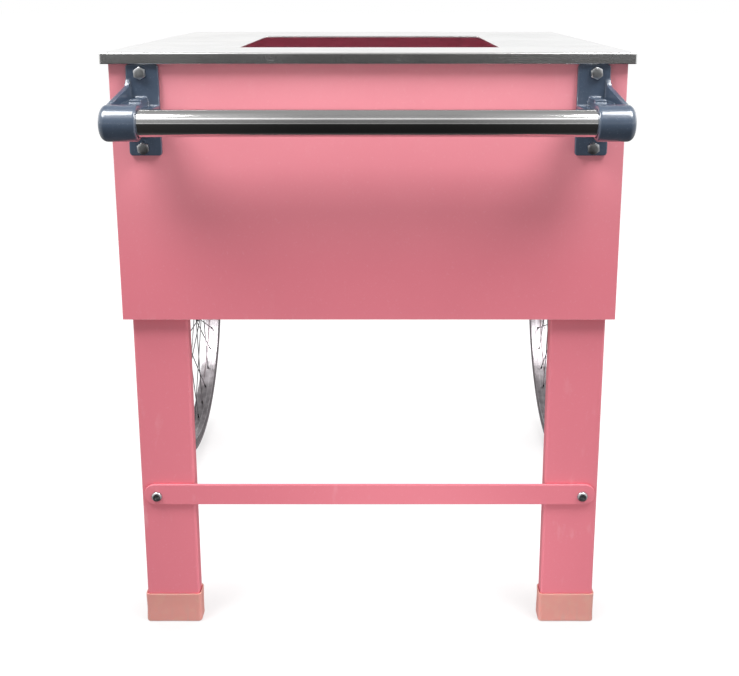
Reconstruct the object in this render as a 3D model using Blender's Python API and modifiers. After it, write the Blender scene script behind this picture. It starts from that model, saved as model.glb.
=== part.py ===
"""A push cart: a sheet steel cabinet with a stainless top, two spoked wheels and two legs.

Metres, +Z up. The cart stands on z = 0 and its handle end faces -Y. The origin lies on the
floor, under the middle of the cart's overall box. Left is -X, right is +X.
"""

import math

import bmesh
import bpy
from mathutils import Matrix, Vector

# Clearances
GAP = 0.0003            # between pieces that touch on the real cart
HOLE_GAP = 0.0005       # round a bolt in its hole
RUN_GAP = 0.0006        # beside a turning hub

# Stainless top: a tray of thin sheet, turned down all round
TOP_WIDTH = 0.762
TOP_DEPTH = 0.704
TOP_HEIGHT = 0.920
TOP_EDGE = 0.016
TOP_SHEET = 0.0012
TOP_OVERHANG_SIDE = 0.0095
TOP_OVERHANG_END = 0.012
CUTOUT_WIDTH = 0.408
CUTOUT_DEPTH = 0.379
CUTOUT_SETBACK = 0.135

# Cabinet: painted sheets on a frame of thin-walled tube
CABINET_BOTTOM = 0.520
SHEET = 0.0012
RAIL_WIDTH = 0.020
RAIL_HEIGHT = 0.016
RAIL_WALL = 0.0015

# Legs, their boots and the bar that ties them
LEG_WIDTH = 0.084
LEG_DEPTH = 0.025
LEG_WALL = 0.002
LEG_CORNER = 0.003
LEG_INSET = 0.011
BOOT_WALL = 0.0027
BOOT_SOLE = 0.003
BOOT_HEIGHT = 0.050
BOOT_CORNER = 0.004
CROSSBAR_HEIGHT = 0.034
CROSSBAR_THICK = 0.0045
CROSSBAR_LEVEL = 0.227
CROSSBAR_INSET = 0.0045
CROSSBAR_BOLT_INSET = 0.020
CROSSBAR_BOLT_DROP = 0.003

# Handle: a round tube in two cast brackets
BAR_RADIUS = 0.01905
BAR_WALL = 0.0015
HANDLE_REACH = 0.079
HANDLE_DROP = 0.091
BRACKET_BOLT_INSET = 0.0355
SOCKET_WALL = 0.00605
SOCKET_SHIFT = 0.0127
SOCKET_LENGTH = 0.0513
SOCKET_END = 0.006
SOCKET_ROUND = 0.006
PLATE_WIDTH = 0.047
PLATE_THICK = 0.006
PLATE_CORNER = 0.004
PLATE_TOP_DROP = 0.0004
PLATE_HEIGHT = 0.132
PLATE_BOLT_X = 0.026
PLATE_BOLT_TOP = 0.0126
PLATE_BOLT_PITCH = 0.108
WEB_THICK = 0.007
WEB_SHIFT = 0.004
WEB_RISE = 0.055
WEB_LAND = 0.003
WEB_TOP_ANGLE = math.radians(85.0)
WEB_SWEEP = math.radians(100.0)
WEB_STEPS = 6
ARM_HEIGHT = 0.028
ARM_SHIFT = 0.004
PACKER_DEPTH = 0.0102

# Wheels: solid tyre, channel rim, 36 crossed spokes, flanged hub on two bearings
WHEEL_RADIUS = 0.330
TYRE_WIDTH = 0.036
WHEEL_GAP = 0.0185
AXLE_INSET = 0.024
RIM_WIDTH = 0.034
TYRE_HEIGHT = 0.0315
RIM_BED = 0.003
RIM_LIP = 0.0025
RIM_DEPTH = 0.014
TYRE_SHOULDER = 0.006
SPOKE_COUNT = 36
SPOKE_RADIUS = 0.0010
SPOKE_SWEEP = math.radians(60.0)
SPOKE_STAGGER = 0.002
HUB_LENGTH = 0.058
HUB_BARREL = 0.0225
HUB_CORE = 0.014
FLANGE_RADIUS = 0.040
FLANGE_THICK = 0.004
FLANGE_PITCH_RADIUS = 0.034
FLANGE_OFFSET = 0.021
BEARING_RADIUS = 0.0175
BEARING_WIDTH = 0.011
AXLE_RADIUS = 0.008
AXLE_TAIL = 0.005

# Brackets that carry the axle under the cabinet
AXLE_FLANGE_WIDTH = 0.037
AXLE_PLATE_THICK = 0.006
AXLE_PLATE_LENGTH = 0.130
AXLE_FLANGE_THICK = 0.005
AXLE_BOSS_RADIUS = 0.024
AXLE_BOLT_EDGE = 0.030
AXLE_BOLT_PITCH = 0.065
AXLE_BOLT_REACH = 0.0115
SPACER_WALL = 0.004
AXLE_PLATE_SWEEP = (math.pi * 1.15, math.pi * 2.0)
AXLE_PLATE_STEPS = 10

# Fasteners
BOLT_RADIUS = 0.005
BOLT_HEAD_FLATS = 0.016
BOLT_HEAD_HEIGHT = 0.0064
BUTTON_RADIUS = 0.0083
BUTTON_HEIGHT = 0.0050
BUTTON_SOCKET = 0.0048
NUT_HEIGHT = 0.008
BOLT_TAIL = 0.003
SMALL_BOLT_RADIUS = 0.004
SMALL_HEAD_FLATS = 0.013
SMALL_HEAD_HEIGHT = 0.0053
AXLE_NUT_FLATS = 0.024
AXLE_NUT_HEIGHT = 0.008

# Facets of the round pieces; a multiple of four keeps a handle's outermost points exact
HANDLE_STEPS = 28
WHEEL_STEPS = 48
AXLE_STEPS = 24
HEAD_STEPS = 20
SHANK_STEPS = 16
SPOKE_STEPS = 4
CORNER_STEPS = 3
CROWN_STEPS = 6
SMOOTH_BELOW = math.radians(35.0)
WELD_DISTANCE = 0.00001

# Places that follow from the sizes above; the first puts the origin mid-way along Y
CUTTER_MARGIN = 0.010
AXLE_SETBACK = TOP_DEPTH - TOP_OVERHANG_END - AXLE_INSET
SOCKET_RADIUS = BAR_RADIUS + GAP + SOCKET_WALL
NOSE = TOP_OVERHANG_END - HANDLE_REACH - SOCKET_RADIUS
TAIL = max(AXLE_SETBACK + WHEEL_RADIUS, TOP_DEPTH)
TOP_FRONT = -(NOSE + TAIL) / 2

CABINET_SIDE = TOP_WIDTH / 2 - TOP_OVERHANG_SIDE
CABINET_FRONT = TOP_FRONT + TOP_OVERHANG_END
CABINET_REAR = TOP_FRONT + TOP_DEPTH - TOP_OVERHANG_END
INSIDE_SIDE = CABINET_SIDE - SHEET - GAP
INSIDE_FRONT = CABINET_FRONT + SHEET + GAP
INSIDE_REAR = CABINET_REAR - SHEET - GAP
PANEL_TOP = TOP_HEIGHT - TOP_SHEET - GAP
FLOOR_TOP = CABINET_BOTTOM + SHEET + GAP
TOP_RAIL_BOTTOM = PANEL_TOP - RAIL_HEIGHT
FRAME_TOP = TOP_RAIL_BOTTOM - GAP

LEG_OUTER = CABINET_SIDE - LEG_INSET
LEG_INNER = LEG_OUTER - LEG_WIDTH
LEG_FRONT = INSIDE_FRONT + PACKER_DEPTH + GAP
LEG_REAR = LEG_FRONT + LEG_DEPTH
LEG_BOTTOM = BOOT_SOLE + GAP
POST_INNER = INSIDE_SIDE - RAIL_WIDTH
POST_FRONT = INSIDE_REAR - RAIL_WIDTH

HANDLE_Y = CABINET_FRONT - HANDLE_REACH
HANDLE_LEVEL = TOP_HEIGHT - HANDLE_DROP
PLATE_REAR = CABINET_FRONT - GAP
PLATE_FRONT = PLATE_REAR - PLATE_THICK
PLATE_TOP = TOP_HEIGHT - TOP_EDGE - PLATE_TOP_DROP
PLATE_BOTTOM = PLATE_TOP - PLATE_HEIGHT
BRACKET_BOLT_X = LEG_OUTER - BRACKET_BOLT_INSET
PLATE_INNER_X = BRACKET_BOLT_X - PLATE_BOLT_X
PLATE_OUTER_X = PLATE_INNER_X + PLATE_WIDTH
SOCKET_INNER_X = PLATE_INNER_X + SOCKET_SHIFT
SOCKET_OUTER_X = SOCKET_INNER_X + SOCKET_LENGTH
WEB_OUTER_X = PLATE_OUTER_X + WEB_SHIFT
UPPER_BOLT_Z = PLATE_TOP - PLATE_BOLT_TOP
LOWER_BOLT_Z = UPPER_BOLT_Z - PLATE_BOLT_PITCH
BAR_END = SOCKET_OUTER_X - SOCKET_END - GAP

CROSSBAR_END = LEG_OUTER - CROSSBAR_INSET
CROSSBAR_FRONT = LEG_FRONT - GAP - CROSSBAR_THICK
CROSSBAR_BOLT_X = CROSSBAR_END - CROSSBAR_BOLT_INSET
CROSSBAR_BOLT_Z = CROSSBAR_LEVEL - CROSSBAR_BOLT_DROP

WHEEL_X = CABINET_SIDE + WHEEL_GAP + TYRE_WIDTH / 2
RIM_INNER = WHEEL_RADIUS - TYRE_HEIGHT
BEARING_BORE = AXLE_RADIUS + GAP
SPACER_RADIUS = AXLE_RADIUS + SPACER_WALL
AXLE_Y = TOP_FRONT + AXLE_SETBACK
AXLE_Z = WHEEL_RADIUS
HUB_INNER_X = WHEEL_X - HUB_LENGTH / 2
HUB_OUTER_X = WHEEL_X + HUB_LENGTH / 2
AXLE_END = HUB_OUTER_X + RUN_GAP + AXLE_NUT_HEIGHT + AXLE_TAIL
AXLE_PLATE_X = INSIDE_SIDE - AXLE_FLANGE_WIDTH
AXLE_PLATE_REAR = CABINET_REAR - 2 * GAP
AXLE_PLATE_FRONT = AXLE_PLATE_REAR - AXLE_PLATE_LENGTH
AXLE_FLANGE_TOP = CABINET_BOTTOM - GAP
AXLE_FLANGE_BOTTOM = AXLE_FLANGE_TOP - AXLE_FLANGE_THICK
AXLE_BOLT_X = (POST_INNER + INSIDE_SIDE) / 2
AXLE_BOLT_FRONT = AXLE_PLATE_FRONT + AXLE_BOLT_EDGE
AXLE_BOLT_REAR = AXLE_BOLT_FRONT + AXLE_BOLT_PITCH

SIDES = (("left", -1), ("right", 1))
TURN_TO_X = Matrix.Rotation(math.pi / 2, 4, "Y")
TURN_TO_Y = Matrix.Rotation(-math.pi / 2, 4, "X")
NO_TURN = Matrix.Identity(4)
YZ_TO_SIDE = Matrix(((0, 0, 1, 0), (1, 0, 0, 0), (0, 1, 0, 0), (0, 0, 0, 1)))

# Finishes: base colour, metallic, roughness
FINISHES = {
    "pink_paint": ((0.80, 0.33, 0.38), 0.0, 0.35),
    "stainless_top": ((0.78, 0.78, 0.78), 1.0, 0.35),
    "polished_steel": ((0.80, 0.80, 0.80), 1.0, 0.10),
    "grey_enamel": ((0.07, 0.10, 0.14), 0.3, 0.35),
    "zinc_plate": ((0.60, 0.61, 0.62), 1.0, 0.30),
    "vinyl": ((0.66, 0.30, 0.26), 0.0, 0.45),
    "packer_plastic": ((0.05, 0.05, 0.05), 0.0, 0.60),
    "tyre_rubber": ((0.25, 0.25, 0.26), 0.0, 0.75),
    "wheel_steel": ((0.62, 0.60, 0.62), 1.0, 0.32),
    "axle_steel": ((0.45, 0.45, 0.46), 1.0, 0.35),
}


# Set-up

def clear_scene():
    for thing in list(bpy.data.objects):
        bpy.data.objects.remove(thing, do_unlink=True)


def make_collection(name):
    collection = bpy.data.collections.new(name)
    bpy.context.scene.collection.children.link(collection)
    return collection


def make_materials():
    materials = {}
    for name, (colour, metallic, roughness) in FINISHES.items():
        material = bpy.data.materials.new(name)
        material.use_nodes = True
        shader = material.node_tree.nodes["Principled BSDF"]
        shader.inputs["Base Color"].default_value = (*colour, 1.0)
        shader.inputs["Metallic"].default_value = metallic
        shader.inputs["Roughness"].default_value = roughness
        materials[name] = material
    return materials


clear_scene()
PARTS = make_collection("push_cart")
CUTTERS = make_collection("cutters")
MATERIALS = make_materials()


# Building blocks

def add_object(name, mesh, finish):
    """A part with a finish, or a cutter when the finish is None."""
    thing = bpy.data.objects.new(name, mesh)
    if finish is None:
        thing.hide_render = True
        thing.display_type = "WIRE"
        CUTTERS.objects.link(thing)
    else:
        mesh.materials.append(MATERIALS[finish])
        PARTS.objects.link(thing)
    return thing


def finish_bmesh(name, bm, finish):
    bmesh.ops.recalc_face_normals(bm, faces=bm.faces)
    mesh = bpy.data.meshes.new(name)
    bm.to_mesh(mesh)
    bm.free()
    return add_object(name, mesh, finish)


def box(name, low, high, finish=None, round_axis=None, radius=0.0, segments=2):
    """A box between two corners; its edges along round_axis may be rounded."""
    low, high = Vector(low), Vector(high)
    bm = bmesh.new()
    bmesh.ops.create_cube(bm, size=1.0)
    bmesh.ops.scale(bm, vec=high - low, verts=bm.verts)
    if round_axis is not None:
        edges = []
        for edge in bm.edges:
            along = edge.verts[0].co - edge.verts[1].co
            if abs(along[round_axis]) > 0.5 * (high - low)[round_axis]:
                edges.append(edge)
        bmesh.ops.bevel(bm, geom=edges, offset=radius, segments=segments, profile=0.5, affect="EDGES")
    thing = finish_bmesh(name, bm, finish)
    thing.location = (low + high) / 2
    return thing


def side_box(name, side, inner, outer, y_span, z_span, finish=None, **rounding):
    """A box given by its inner and outer distance from the middle plane, on one side."""
    xs = sorted((side * inner, side * outer))
    return box(name, (xs[0], y_span[0], z_span[0]), (xs[1], y_span[1], z_span[1]), finish, **rounding)


def prism(name, centre, radius, depth, turn, sides, finish=None):
    """A cylinder or a hexagon about its centre; a side's middle faces local +X on a hexagon."""
    bm = bmesh.new()
    bmesh.ops.create_cone(bm, cap_ends=True, segments=sides, radius1=radius, radius2=radius, depth=depth)
    thing = finish_bmesh(name, bm, finish)
    shade_round(thing)
    thing.matrix_world = Matrix.Translation(centre) @ turn
    return thing


def turned(name, profile, centre, turn, steps, finish=None, closed=True):
    """A profile of (radius, height) pairs turned about local Z; it runs down its outer side."""
    mesh = bpy.data.meshes.new(name)
    count = len(profile)
    edges = [(i, i + 1) for i in range(count - 1)]
    if closed:
        edges.append((count - 1, 0))
    mesh.from_pydata([(r, 0.0, z) for r, z in profile], edges, [])
    thing = add_object(name, mesh, finish)
    screw = thing.modifiers.new("turn", "SCREW")
    screw.axis = "Z"
    screw.angle = 2 * math.pi
    screw.steps = steps
    screw.render_steps = steps
    screw.use_merge_vertices = True
    screw.merge_threshold = WELD_DISTANCE
    screw.use_smooth_shade = True
    thing.matrix_world = Matrix.Translation(centre) @ turn
    return thing


def flat_outline(name, points, centre, turn, thickness, finish=None):
    """A closed outline in local XY, given a thickness about its plane, as a mesh."""
    curve = bpy.data.curves.new(name + "_outline", "CURVE")
    curve.dimensions = "2D"
    curve.fill_mode = "BOTH"
    curve.extrude = thickness / 2
    spline = curve.splines.new("POLY")
    spline.points.add(len(points) - 1)
    for point, (x, y) in zip(spline.points, points):
        point.co = (x, y, 0.0, 1.0)
    spline.use_cyclic_u = True
    guide = bpy.data.objects.new(name + "_outline", curve)
    CUTTERS.objects.link(guide)
    guide.matrix_world = Matrix.Translation(centre) @ turn
    bpy.context.view_layer.update()
    evaluated = guide.evaluated_get(bpy.context.evaluated_depsgraph_get())
    mesh = bpy.data.meshes.new_from_object(evaluated)
    mesh.materials.clear()
    mesh.name = name
    bm = bmesh.new()
    bm.from_mesh(mesh)
    bmesh.ops.remove_doubles(bm, verts=bm.verts, dist=WELD_DISTANCE)
    bmesh.ops.recalc_face_normals(bm, faces=bm.faces)
    bm.to_mesh(mesh)
    bm.free()
    thing = add_object(name, mesh, finish)
    thing.matrix_world = guide.matrix_world.copy()
    bpy.data.objects.remove(guide, do_unlink=True)
    return thing


def shade_round(thing):
    thing.data.shade_smooth()
    thing.data.set_sharp_from_angle(angle=SMOOTH_BELOW)


def boolean(target, tool, operation):
    modifier = target.modifiers.new(tool.name, "BOOLEAN")
    modifier.operation = operation
    modifier.solver = "EXACT"
    modifier.object = tool


def cut(target, tool):
    boolean(target, tool, "DIFFERENCE")


def join(target, tool):
    boolean(target, tool, "UNION")


def hexagon_radius(flats):
    return flats / 2 / math.cos(math.pi / 6)


def drill(targets, name, centre, radius, depth, turn):
    """One round cutter through several parts."""
    cutter = prism(name, centre, radius + HOLE_GAP, depth, turn, SHANK_STEPS)
    for target in targets:
        cut(target, cutter)


# Stainless top

def make_countertop():
    half = TOP_WIDTH / 2
    rear = TOP_FRONT + TOP_DEPTH
    bottom = TOP_HEIGHT - TOP_EDGE
    top = box("countertop", (-half, TOP_FRONT, bottom), (half, rear, TOP_HEIGHT), "stainless_top")
    hollow = box(
        "countertop_hollow",
        (-half + TOP_SHEET, TOP_FRONT + TOP_SHEET, bottom - CUTTER_MARGIN),
        (half - TOP_SHEET, rear - TOP_SHEET, TOP_HEIGHT - TOP_SHEET),
    )
    cut_front = TOP_FRONT + CUTOUT_SETBACK
    opening = box(
        "countertop_opening",
        (-CUTOUT_WIDTH / 2, cut_front, bottom - CUTTER_MARGIN),
        (CUTOUT_WIDTH / 2, cut_front + CUTOUT_DEPTH, TOP_HEIGHT + CUTTER_MARGIN),
    )
    cut(top, hollow)
    cut(top, opening)


# Cabinet

def make_panels():
    paint = "pink_paint"
    panel_z = (CABINET_BOTTOM, PANEL_TOP)
    panels = {}
    panels["front"] = box(
        "front_panel",
        (-CABINET_SIDE, CABINET_FRONT, panel_z[0]),
        (CABINET_SIDE, CABINET_FRONT + SHEET, panel_z[1]),
        paint,
    )
    panels["rear"] = box(
        "rear_panel",
        (-CABINET_SIDE, CABINET_REAR - SHEET, panel_z[0]),
        (CABINET_SIDE, CABINET_REAR, panel_z[1]),
        paint,
    )
    for label, side in SIDES:
        y_span = (INSIDE_FRONT, INSIDE_REAR)
        name = label + "_side_panel"
        panels[label] = side_box(name, side, CABINET_SIDE - SHEET, CABINET_SIDE, y_span, panel_z, paint)
    panels["floor"] = box(
        "floor_panel",
        (-INSIDE_SIDE, INSIDE_FRONT, CABINET_BOTTOM),
        (INSIDE_SIDE, INSIDE_REAR, CABINET_BOTTOM + SHEET),
        paint,
    )
    return panels


def make_rail(name, low, high, run):
    """A square-cornered tube, open at both ends, that runs along axis number run."""
    rail = box(name, low, high, "pink_paint")
    inner_low = [value + RAIL_WALL for value in low]
    inner_high = [value - RAIL_WALL for value in high]
    inner_low[run] = low[run] - CUTTER_MARGIN
    inner_high[run] = high[run] + CUTTER_MARGIN
    cut(rail, box(name + "_hollow", inner_low, inner_high))
    return rail


def make_frame():
    """The upper ring of rails, the lower rails and the rear posts; the legs are the front posts."""
    rails = {}
    upper = (TOP_RAIL_BOTTOM, PANEL_TOP)
    lower = (FLOOR_TOP, FLOOR_TOP + RAIL_HEIGHT)
    front_y = (INSIDE_FRONT, INSIDE_FRONT + RAIL_WIDTH)
    rear_y = (POST_FRONT, INSIDE_REAR)
    across = (
        ("top_front_rail", INSIDE_SIDE, front_y, upper),
        ("top_rear_rail", INSIDE_SIDE, rear_y, upper),
        ("floor_front_rail", LEG_INNER - GAP, (LEG_FRONT, LEG_FRONT + RAIL_WIDTH), lower),
        ("floor_rear_rail", POST_INNER - GAP, rear_y, lower),
    )
    for name, half, ys, zs in across:
        rails[name] = make_rail(name, (-half, ys[0], zs[0]), (half, ys[1], zs[1]), 0)
    for label, side in SIDES:
        xs = sorted((side * POST_INNER, side * INSIDE_SIDE))
        along = (
            ("top_%s_rail" % label, (front_y[1] + GAP, POST_FRONT - GAP), upper),
            ("floor_%s_rail" % label, (LEG_REAR + GAP, POST_FRONT - GAP), lower),
        )
        for name, ys, zs in along:
            rails[name] = make_rail(name, (xs[0], ys[0], zs[0]), (xs[1], ys[1], zs[1]), 1)
        name = label + "_rear_post"
        rails[name] = make_rail(name, (xs[0], rear_y[0], FLOOR_TOP), (xs[1], rear_y[1], FRAME_TOP), 2)
    return rails


# Legs

def make_leg(label, side, floor):
    y_span = (LEG_FRONT, LEG_REAR)
    z_span = (LEG_BOTTOM, FRAME_TOP)
    corner = {"round_axis": 2, "radius": LEG_CORNER}
    leg = side_box(label + "_leg", side, LEG_INNER, LEG_OUTER, y_span, z_span, "pink_paint", **corner)
    hollow = side_box(
        label + "_leg_hollow",
        side,
        LEG_INNER + LEG_WALL,
        LEG_OUTER - LEG_WALL,
        (LEG_FRONT + LEG_WALL, LEG_REAR - LEG_WALL),
        (LEG_BOTTOM - CUTTER_MARGIN, FRAME_TOP + CUTTER_MARGIN),
    )
    cut(leg, hollow)
    notch = side_box(
        label + "_leg_notch",
        side,
        LEG_INNER - HOLE_GAP,
        LEG_OUTER + HOLE_GAP,
        (LEG_FRONT - HOLE_GAP, LEG_REAR + HOLE_GAP),
        (CABINET_BOTTOM - CUTTER_MARGIN, FLOOR_TOP + CUTTER_MARGIN),
    )
    cut(floor, notch)
    return leg


def make_boot(label, side):
    wall = GAP + BOOT_WALL
    boot = side_box(
        label + "_boot",
        side,
        LEG_INNER - wall,
        LEG_OUTER + wall,
        (LEG_FRONT - wall, LEG_REAR + wall),
        (0.0, BOOT_HEIGHT),
        "vinyl",
        round_axis=2,
        radius=BOOT_CORNER,
        segments=CORNER_STEPS,
    )
    hollow = side_box(
        label + "_boot_hollow",
        side,
        LEG_INNER - GAP,
        LEG_OUTER + GAP,
        (LEG_FRONT - GAP, LEG_REAR + GAP),
        (BOOT_SOLE, BOOT_HEIGHT + CUTTER_MARGIN),
        round_axis=2,
        radius=LEG_CORNER,
    )
    cut(boot, hollow)


def make_crossbar():
    half_height = CROSSBAR_HEIGHT / 2
    return box(
        "leg_crossbar",
        (-CROSSBAR_END, CROSSBAR_FRONT, CROSSBAR_LEVEL - half_height),
        (CROSSBAR_END, LEG_FRONT - GAP, CROSSBAR_LEVEL + half_height),
        "pink_paint",
        round_axis=1,
        radius=half_height - GAP,
        segments=8,
    )


# Fasteners

def hex_bolt(name, seat, direction, length, radius, flats, head_height):
    """A hexagon-head bolt whose head bears at seat and whose shank runs along direction."""
    seat, direction = Vector(seat), Vector(direction)
    turn = direction.to_track_quat("Z", "Y").to_matrix().to_4x4()
    head_at = seat - direction * (head_height / 2 + GAP)
    bolt = prism(name, head_at, hexagon_radius(flats), head_height, turn, 6, "zinc_plate")
    overlap = head_height / 2
    shank_at = seat + direction * (length - overlap) / 2
    join(bolt, prism(name + "_shank", shank_at, radius, length + overlap, turn, SHANK_STEPS))


def button_bolt(name, seat, length):
    """A round-headed bolt with a hexagon socket; its shank runs along +Y."""
    seat = Vector(seat)
    head_at = seat - Vector((0.0, BUTTON_HEIGHT / 2 + GAP, 0.0))
    bolt = prism(name, head_at, BUTTON_RADIUS, BUTTON_HEIGHT, TURN_TO_Y, HEAD_STEPS, "zinc_plate")
    overlap = BUTTON_HEIGHT / 4
    shank_at = seat + Vector((0.0, (length - overlap) / 2, 0.0))
    join(bolt, prism(name + "_shank", shank_at, BOLT_RADIUS, length + overlap, TURN_TO_Y, SHANK_STEPS))
    socket_at = head_at - Vector((0.0, BUTTON_HEIGHT / 2, 0.0))
    cut(bolt, prism(name + "_socket", socket_at, BUTTON_SOCKET, BUTTON_HEIGHT, TURN_TO_Y, 6))


def hex_nut(name, centre, height, flats, bore, turn):
    nut = prism(name, centre, hexagon_radius(flats), height, turn, 6, "zinc_plate")
    cut(nut, prism(name + "_bore", centre, bore + HOLE_GAP, height + CUTTER_MARGIN, turn, SHANK_STEPS))


def make_crossbar_fasteners(label, side, crossbar, leg):
    x = side * CROSSBAR_BOLT_X
    length = LEG_REAR + GAP + NUT_HEIGHT + BOLT_TAIL - CROSSBAR_FRONT
    button_bolt(label + "_crossbar_bolt", (x, CROSSBAR_FRONT, CROSSBAR_BOLT_Z), length)
    hole_at = (x, LEG_FRONT, CROSSBAR_BOLT_Z)
    drill((crossbar, leg), label + "_crossbar_hole", hole_at, BOLT_RADIUS, 4 * LEG_DEPTH, TURN_TO_Y)
    nut_at = (x, LEG_REAR + GAP + NUT_HEIGHT / 2, CROSSBAR_BOLT_Z)
    hex_nut(label + "_crossbar_nut", nut_at, NUT_HEIGHT, BOLT_HEAD_FLATS, BOLT_RADIUS, TURN_TO_Y)


# Handle

def make_handle_bar():
    profile = (
        (BAR_RADIUS, BAR_END),
        (BAR_RADIUS, -BAR_END),
        (BAR_RADIUS - BAR_WALL, -BAR_END),
        (BAR_RADIUS - BAR_WALL, BAR_END),
    )
    turned("handle_bar", profile, (0.0, HANDLE_Y, HANDLE_LEVEL), TURN_TO_X, HANDLE_STEPS, "polished_steel")


def socket_profile():
    """The closed, rounded end of a socket, down its outside and back up its bore."""
    points = [(0.0, SOCKET_OUTER_X)]
    for step in range(CORNER_STEPS + 1):
        angle = math.pi / 2 * (1 - step / CORNER_STEPS)
        radius = SOCKET_RADIUS - SOCKET_ROUND * (1 - math.cos(angle))
        points.append((radius, SOCKET_OUTER_X - SOCKET_ROUND * (1 - math.sin(angle))))
    bore = BAR_RADIUS + GAP
    points.append((SOCKET_RADIUS, SOCKET_INNER_X))
    points.append((bore, SOCKET_INNER_X))
    points.append((bore, BAR_END + GAP))
    points.append((0.0, BAR_END + GAP))
    return points


def web_outline():
    """From the plate over to the top of the socket, and back inside the socket's wall."""
    root = PLATE_REAR - PLATE_THICK / 4
    crest = HANDLE_LEVEL + WEB_RISE
    wall_middle = (SOCKET_RADIUS + BAR_RADIUS + GAP) / 2
    points = [(root, HANDLE_LEVEL - ARM_HEIGHT / 4), (root, crest), (PLATE_FRONT - WEB_LAND, crest)]
    points.append((PLATE_FRONT - 2 * WEB_LAND, crest - WEB_RISE / 4))
    for step in range(WEB_STEPS + 1):
        angle = WEB_TOP_ANGLE - WEB_SWEEP * step / WEB_STEPS
        y = HANDLE_Y + wall_middle * math.cos(angle)
        points.append((y, HANDLE_LEVEL + wall_middle * math.sin(angle)))
    return points


def make_handle_bracket(label, side):
    """Base plate, arm, side web and socket, cast in one piece."""
    name = label + "_handle_bracket"
    bracket = side_box(
        name,
        side,
        PLATE_INNER_X,
        PLATE_OUTER_X,
        (PLATE_FRONT, PLATE_REAR),
        (PLATE_BOTTOM, PLATE_TOP),
        "grey_enamel",
        round_axis=1,
        radius=PLATE_CORNER,
    )
    arm_front = HANDLE_Y + BAR_RADIUS + 2 * GAP
    arm_low = HANDLE_LEVEL - ARM_HEIGHT / 2
    join(bracket, side_box(
        name + "_arm",
        side,
        SOCKET_INNER_X + ARM_SHIFT,
        PLATE_OUTER_X - ARM_SHIFT,
        (arm_front, PLATE_FRONT + PLATE_THICK / 2),
        (arm_low, arm_low + ARM_HEIGHT),
    ))
    web_x = side * (WEB_OUTER_X - WEB_THICK / 2)
    join(bracket, flat_outline(name + "_web", web_outline(), (web_x, 0.0, 0.0), YZ_TO_SIDE, WEB_THICK))
    facing = TURN_TO_X if side > 0 else TURN_TO_X.inverted()
    axis_at = (0.0, HANDLE_Y, HANDLE_LEVEL)
    join(bracket, turned(name + "_socket", socket_profile(), axis_at, facing, HANDLE_STEPS, closed=False))
    return bracket


def make_packer(label, side):
    """A flat block that fills the space between the front panel and the leg behind a bracket."""
    return side_box(
        label + "_bracket_packer",
        side,
        PLATE_INNER_X,
        PLATE_OUTER_X,
        (INSIDE_FRONT, INSIDE_FRONT + PACKER_DEPTH),
        (PLATE_BOTTOM, FRAME_TOP),
        "packer_plastic",
    )


def make_bracket_fasteners(label, side, clamped):
    length = LEG_REAR + GAP + NUT_HEIGHT + BOLT_TAIL - PLATE_FRONT
    x = side * BRACKET_BOLT_X
    for level, z in (("upper", UPPER_BOLT_Z), ("lower", LOWER_BOLT_Z)):
        name = "%s_bracket_%s" % (label, level)
        seat = (x, PLATE_FRONT, z)
        hex_bolt(name + "_bolt", seat, (0, 1, 0), length, BOLT_RADIUS, BOLT_HEAD_FLATS, BOLT_HEAD_HEIGHT)
        drill(clamped, name + "_hole", (x, LEG_FRONT, z), BOLT_RADIUS, 4 * LEG_DEPTH, TURN_TO_Y)
        nut_at = (x, LEG_REAR + GAP + NUT_HEIGHT / 2, z)
        hex_nut(name + "_nut", nut_at, NUT_HEIGHT, BOLT_HEAD_FLATS, BOLT_RADIUS, TURN_TO_Y)


# Axle and its brackets

def make_axle():
    centre = (0.0, AXLE_Y, AXLE_Z)
    prism("axle", centre, AXLE_RADIUS, 2 * AXLE_END, TURN_TO_X, AXLE_STEPS, "axle_steel")


def axle_plate_outline():
    """A straight top edge that narrows to a round end about the axle, in (Y, Z)."""
    points = [(AXLE_PLATE_REAR, AXLE_FLANGE_BOTTOM + GAP), (AXLE_PLATE_FRONT, AXLE_FLANGE_BOTTOM + GAP)]
    first, last = AXLE_PLATE_SWEEP
    for step in range(AXLE_PLATE_STEPS + 1):
        angle = first + (last - first) * step / AXLE_PLATE_STEPS
        y = AXLE_Y + AXLE_BOSS_RADIUS * math.cos(angle)
        points.append((y, AXLE_Z + AXLE_BOSS_RADIUS * math.sin(angle)))
    return points


def make_axle_bracket(label, side, floor, rail):
    name = label + "_axle_bracket"
    bracket = side_box(
        name,
        side,
        AXLE_PLATE_X,
        INSIDE_SIDE,
        (AXLE_PLATE_FRONT, AXLE_PLATE_REAR),
        (AXLE_FLANGE_BOTTOM, AXLE_FLANGE_TOP),
        "pink_paint",
    )
    plate_x = side * (AXLE_PLATE_X + AXLE_PLATE_THICK / 2)
    plate = flat_outline(
        name + "_plate", axle_plate_outline(), (plate_x, 0.0, 0.0), YZ_TO_SIDE, AXLE_PLATE_THICK
    )
    join(bracket, plate)
    drill((bracket,), name + "_bore", (plate_x, AXLE_Y, AXLE_Z), AXLE_RADIUS, AXLE_BOSS_RADIUS, TURN_TO_X)
    x = side * AXLE_BOLT_X
    for where, y in (("front", AXLE_BOLT_FRONT), ("rear", AXLE_BOLT_REAR)):
        bolt = "%s_%s_bolt" % (name, where)
        seat = (x, y, AXLE_FLANGE_BOTTOM)
        length = FLOOR_TOP + AXLE_BOLT_REACH - AXLE_FLANGE_BOTTOM
        hex_bolt(bolt, seat, (0, 0, 1), length, SMALL_BOLT_RADIUS, SMALL_HEAD_FLATS, SMALL_HEAD_HEIGHT)
        hole_at = (x, y, CABINET_BOTTOM)
        depth = 2 * (CABINET_BOTTOM - AXLE_FLANGE_BOTTOM) + RAIL_WALL
        drill((bracket, floor, rail), bolt + "_hole", hole_at, SMALL_BOLT_RADIUS, depth, NO_TURN)


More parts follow.
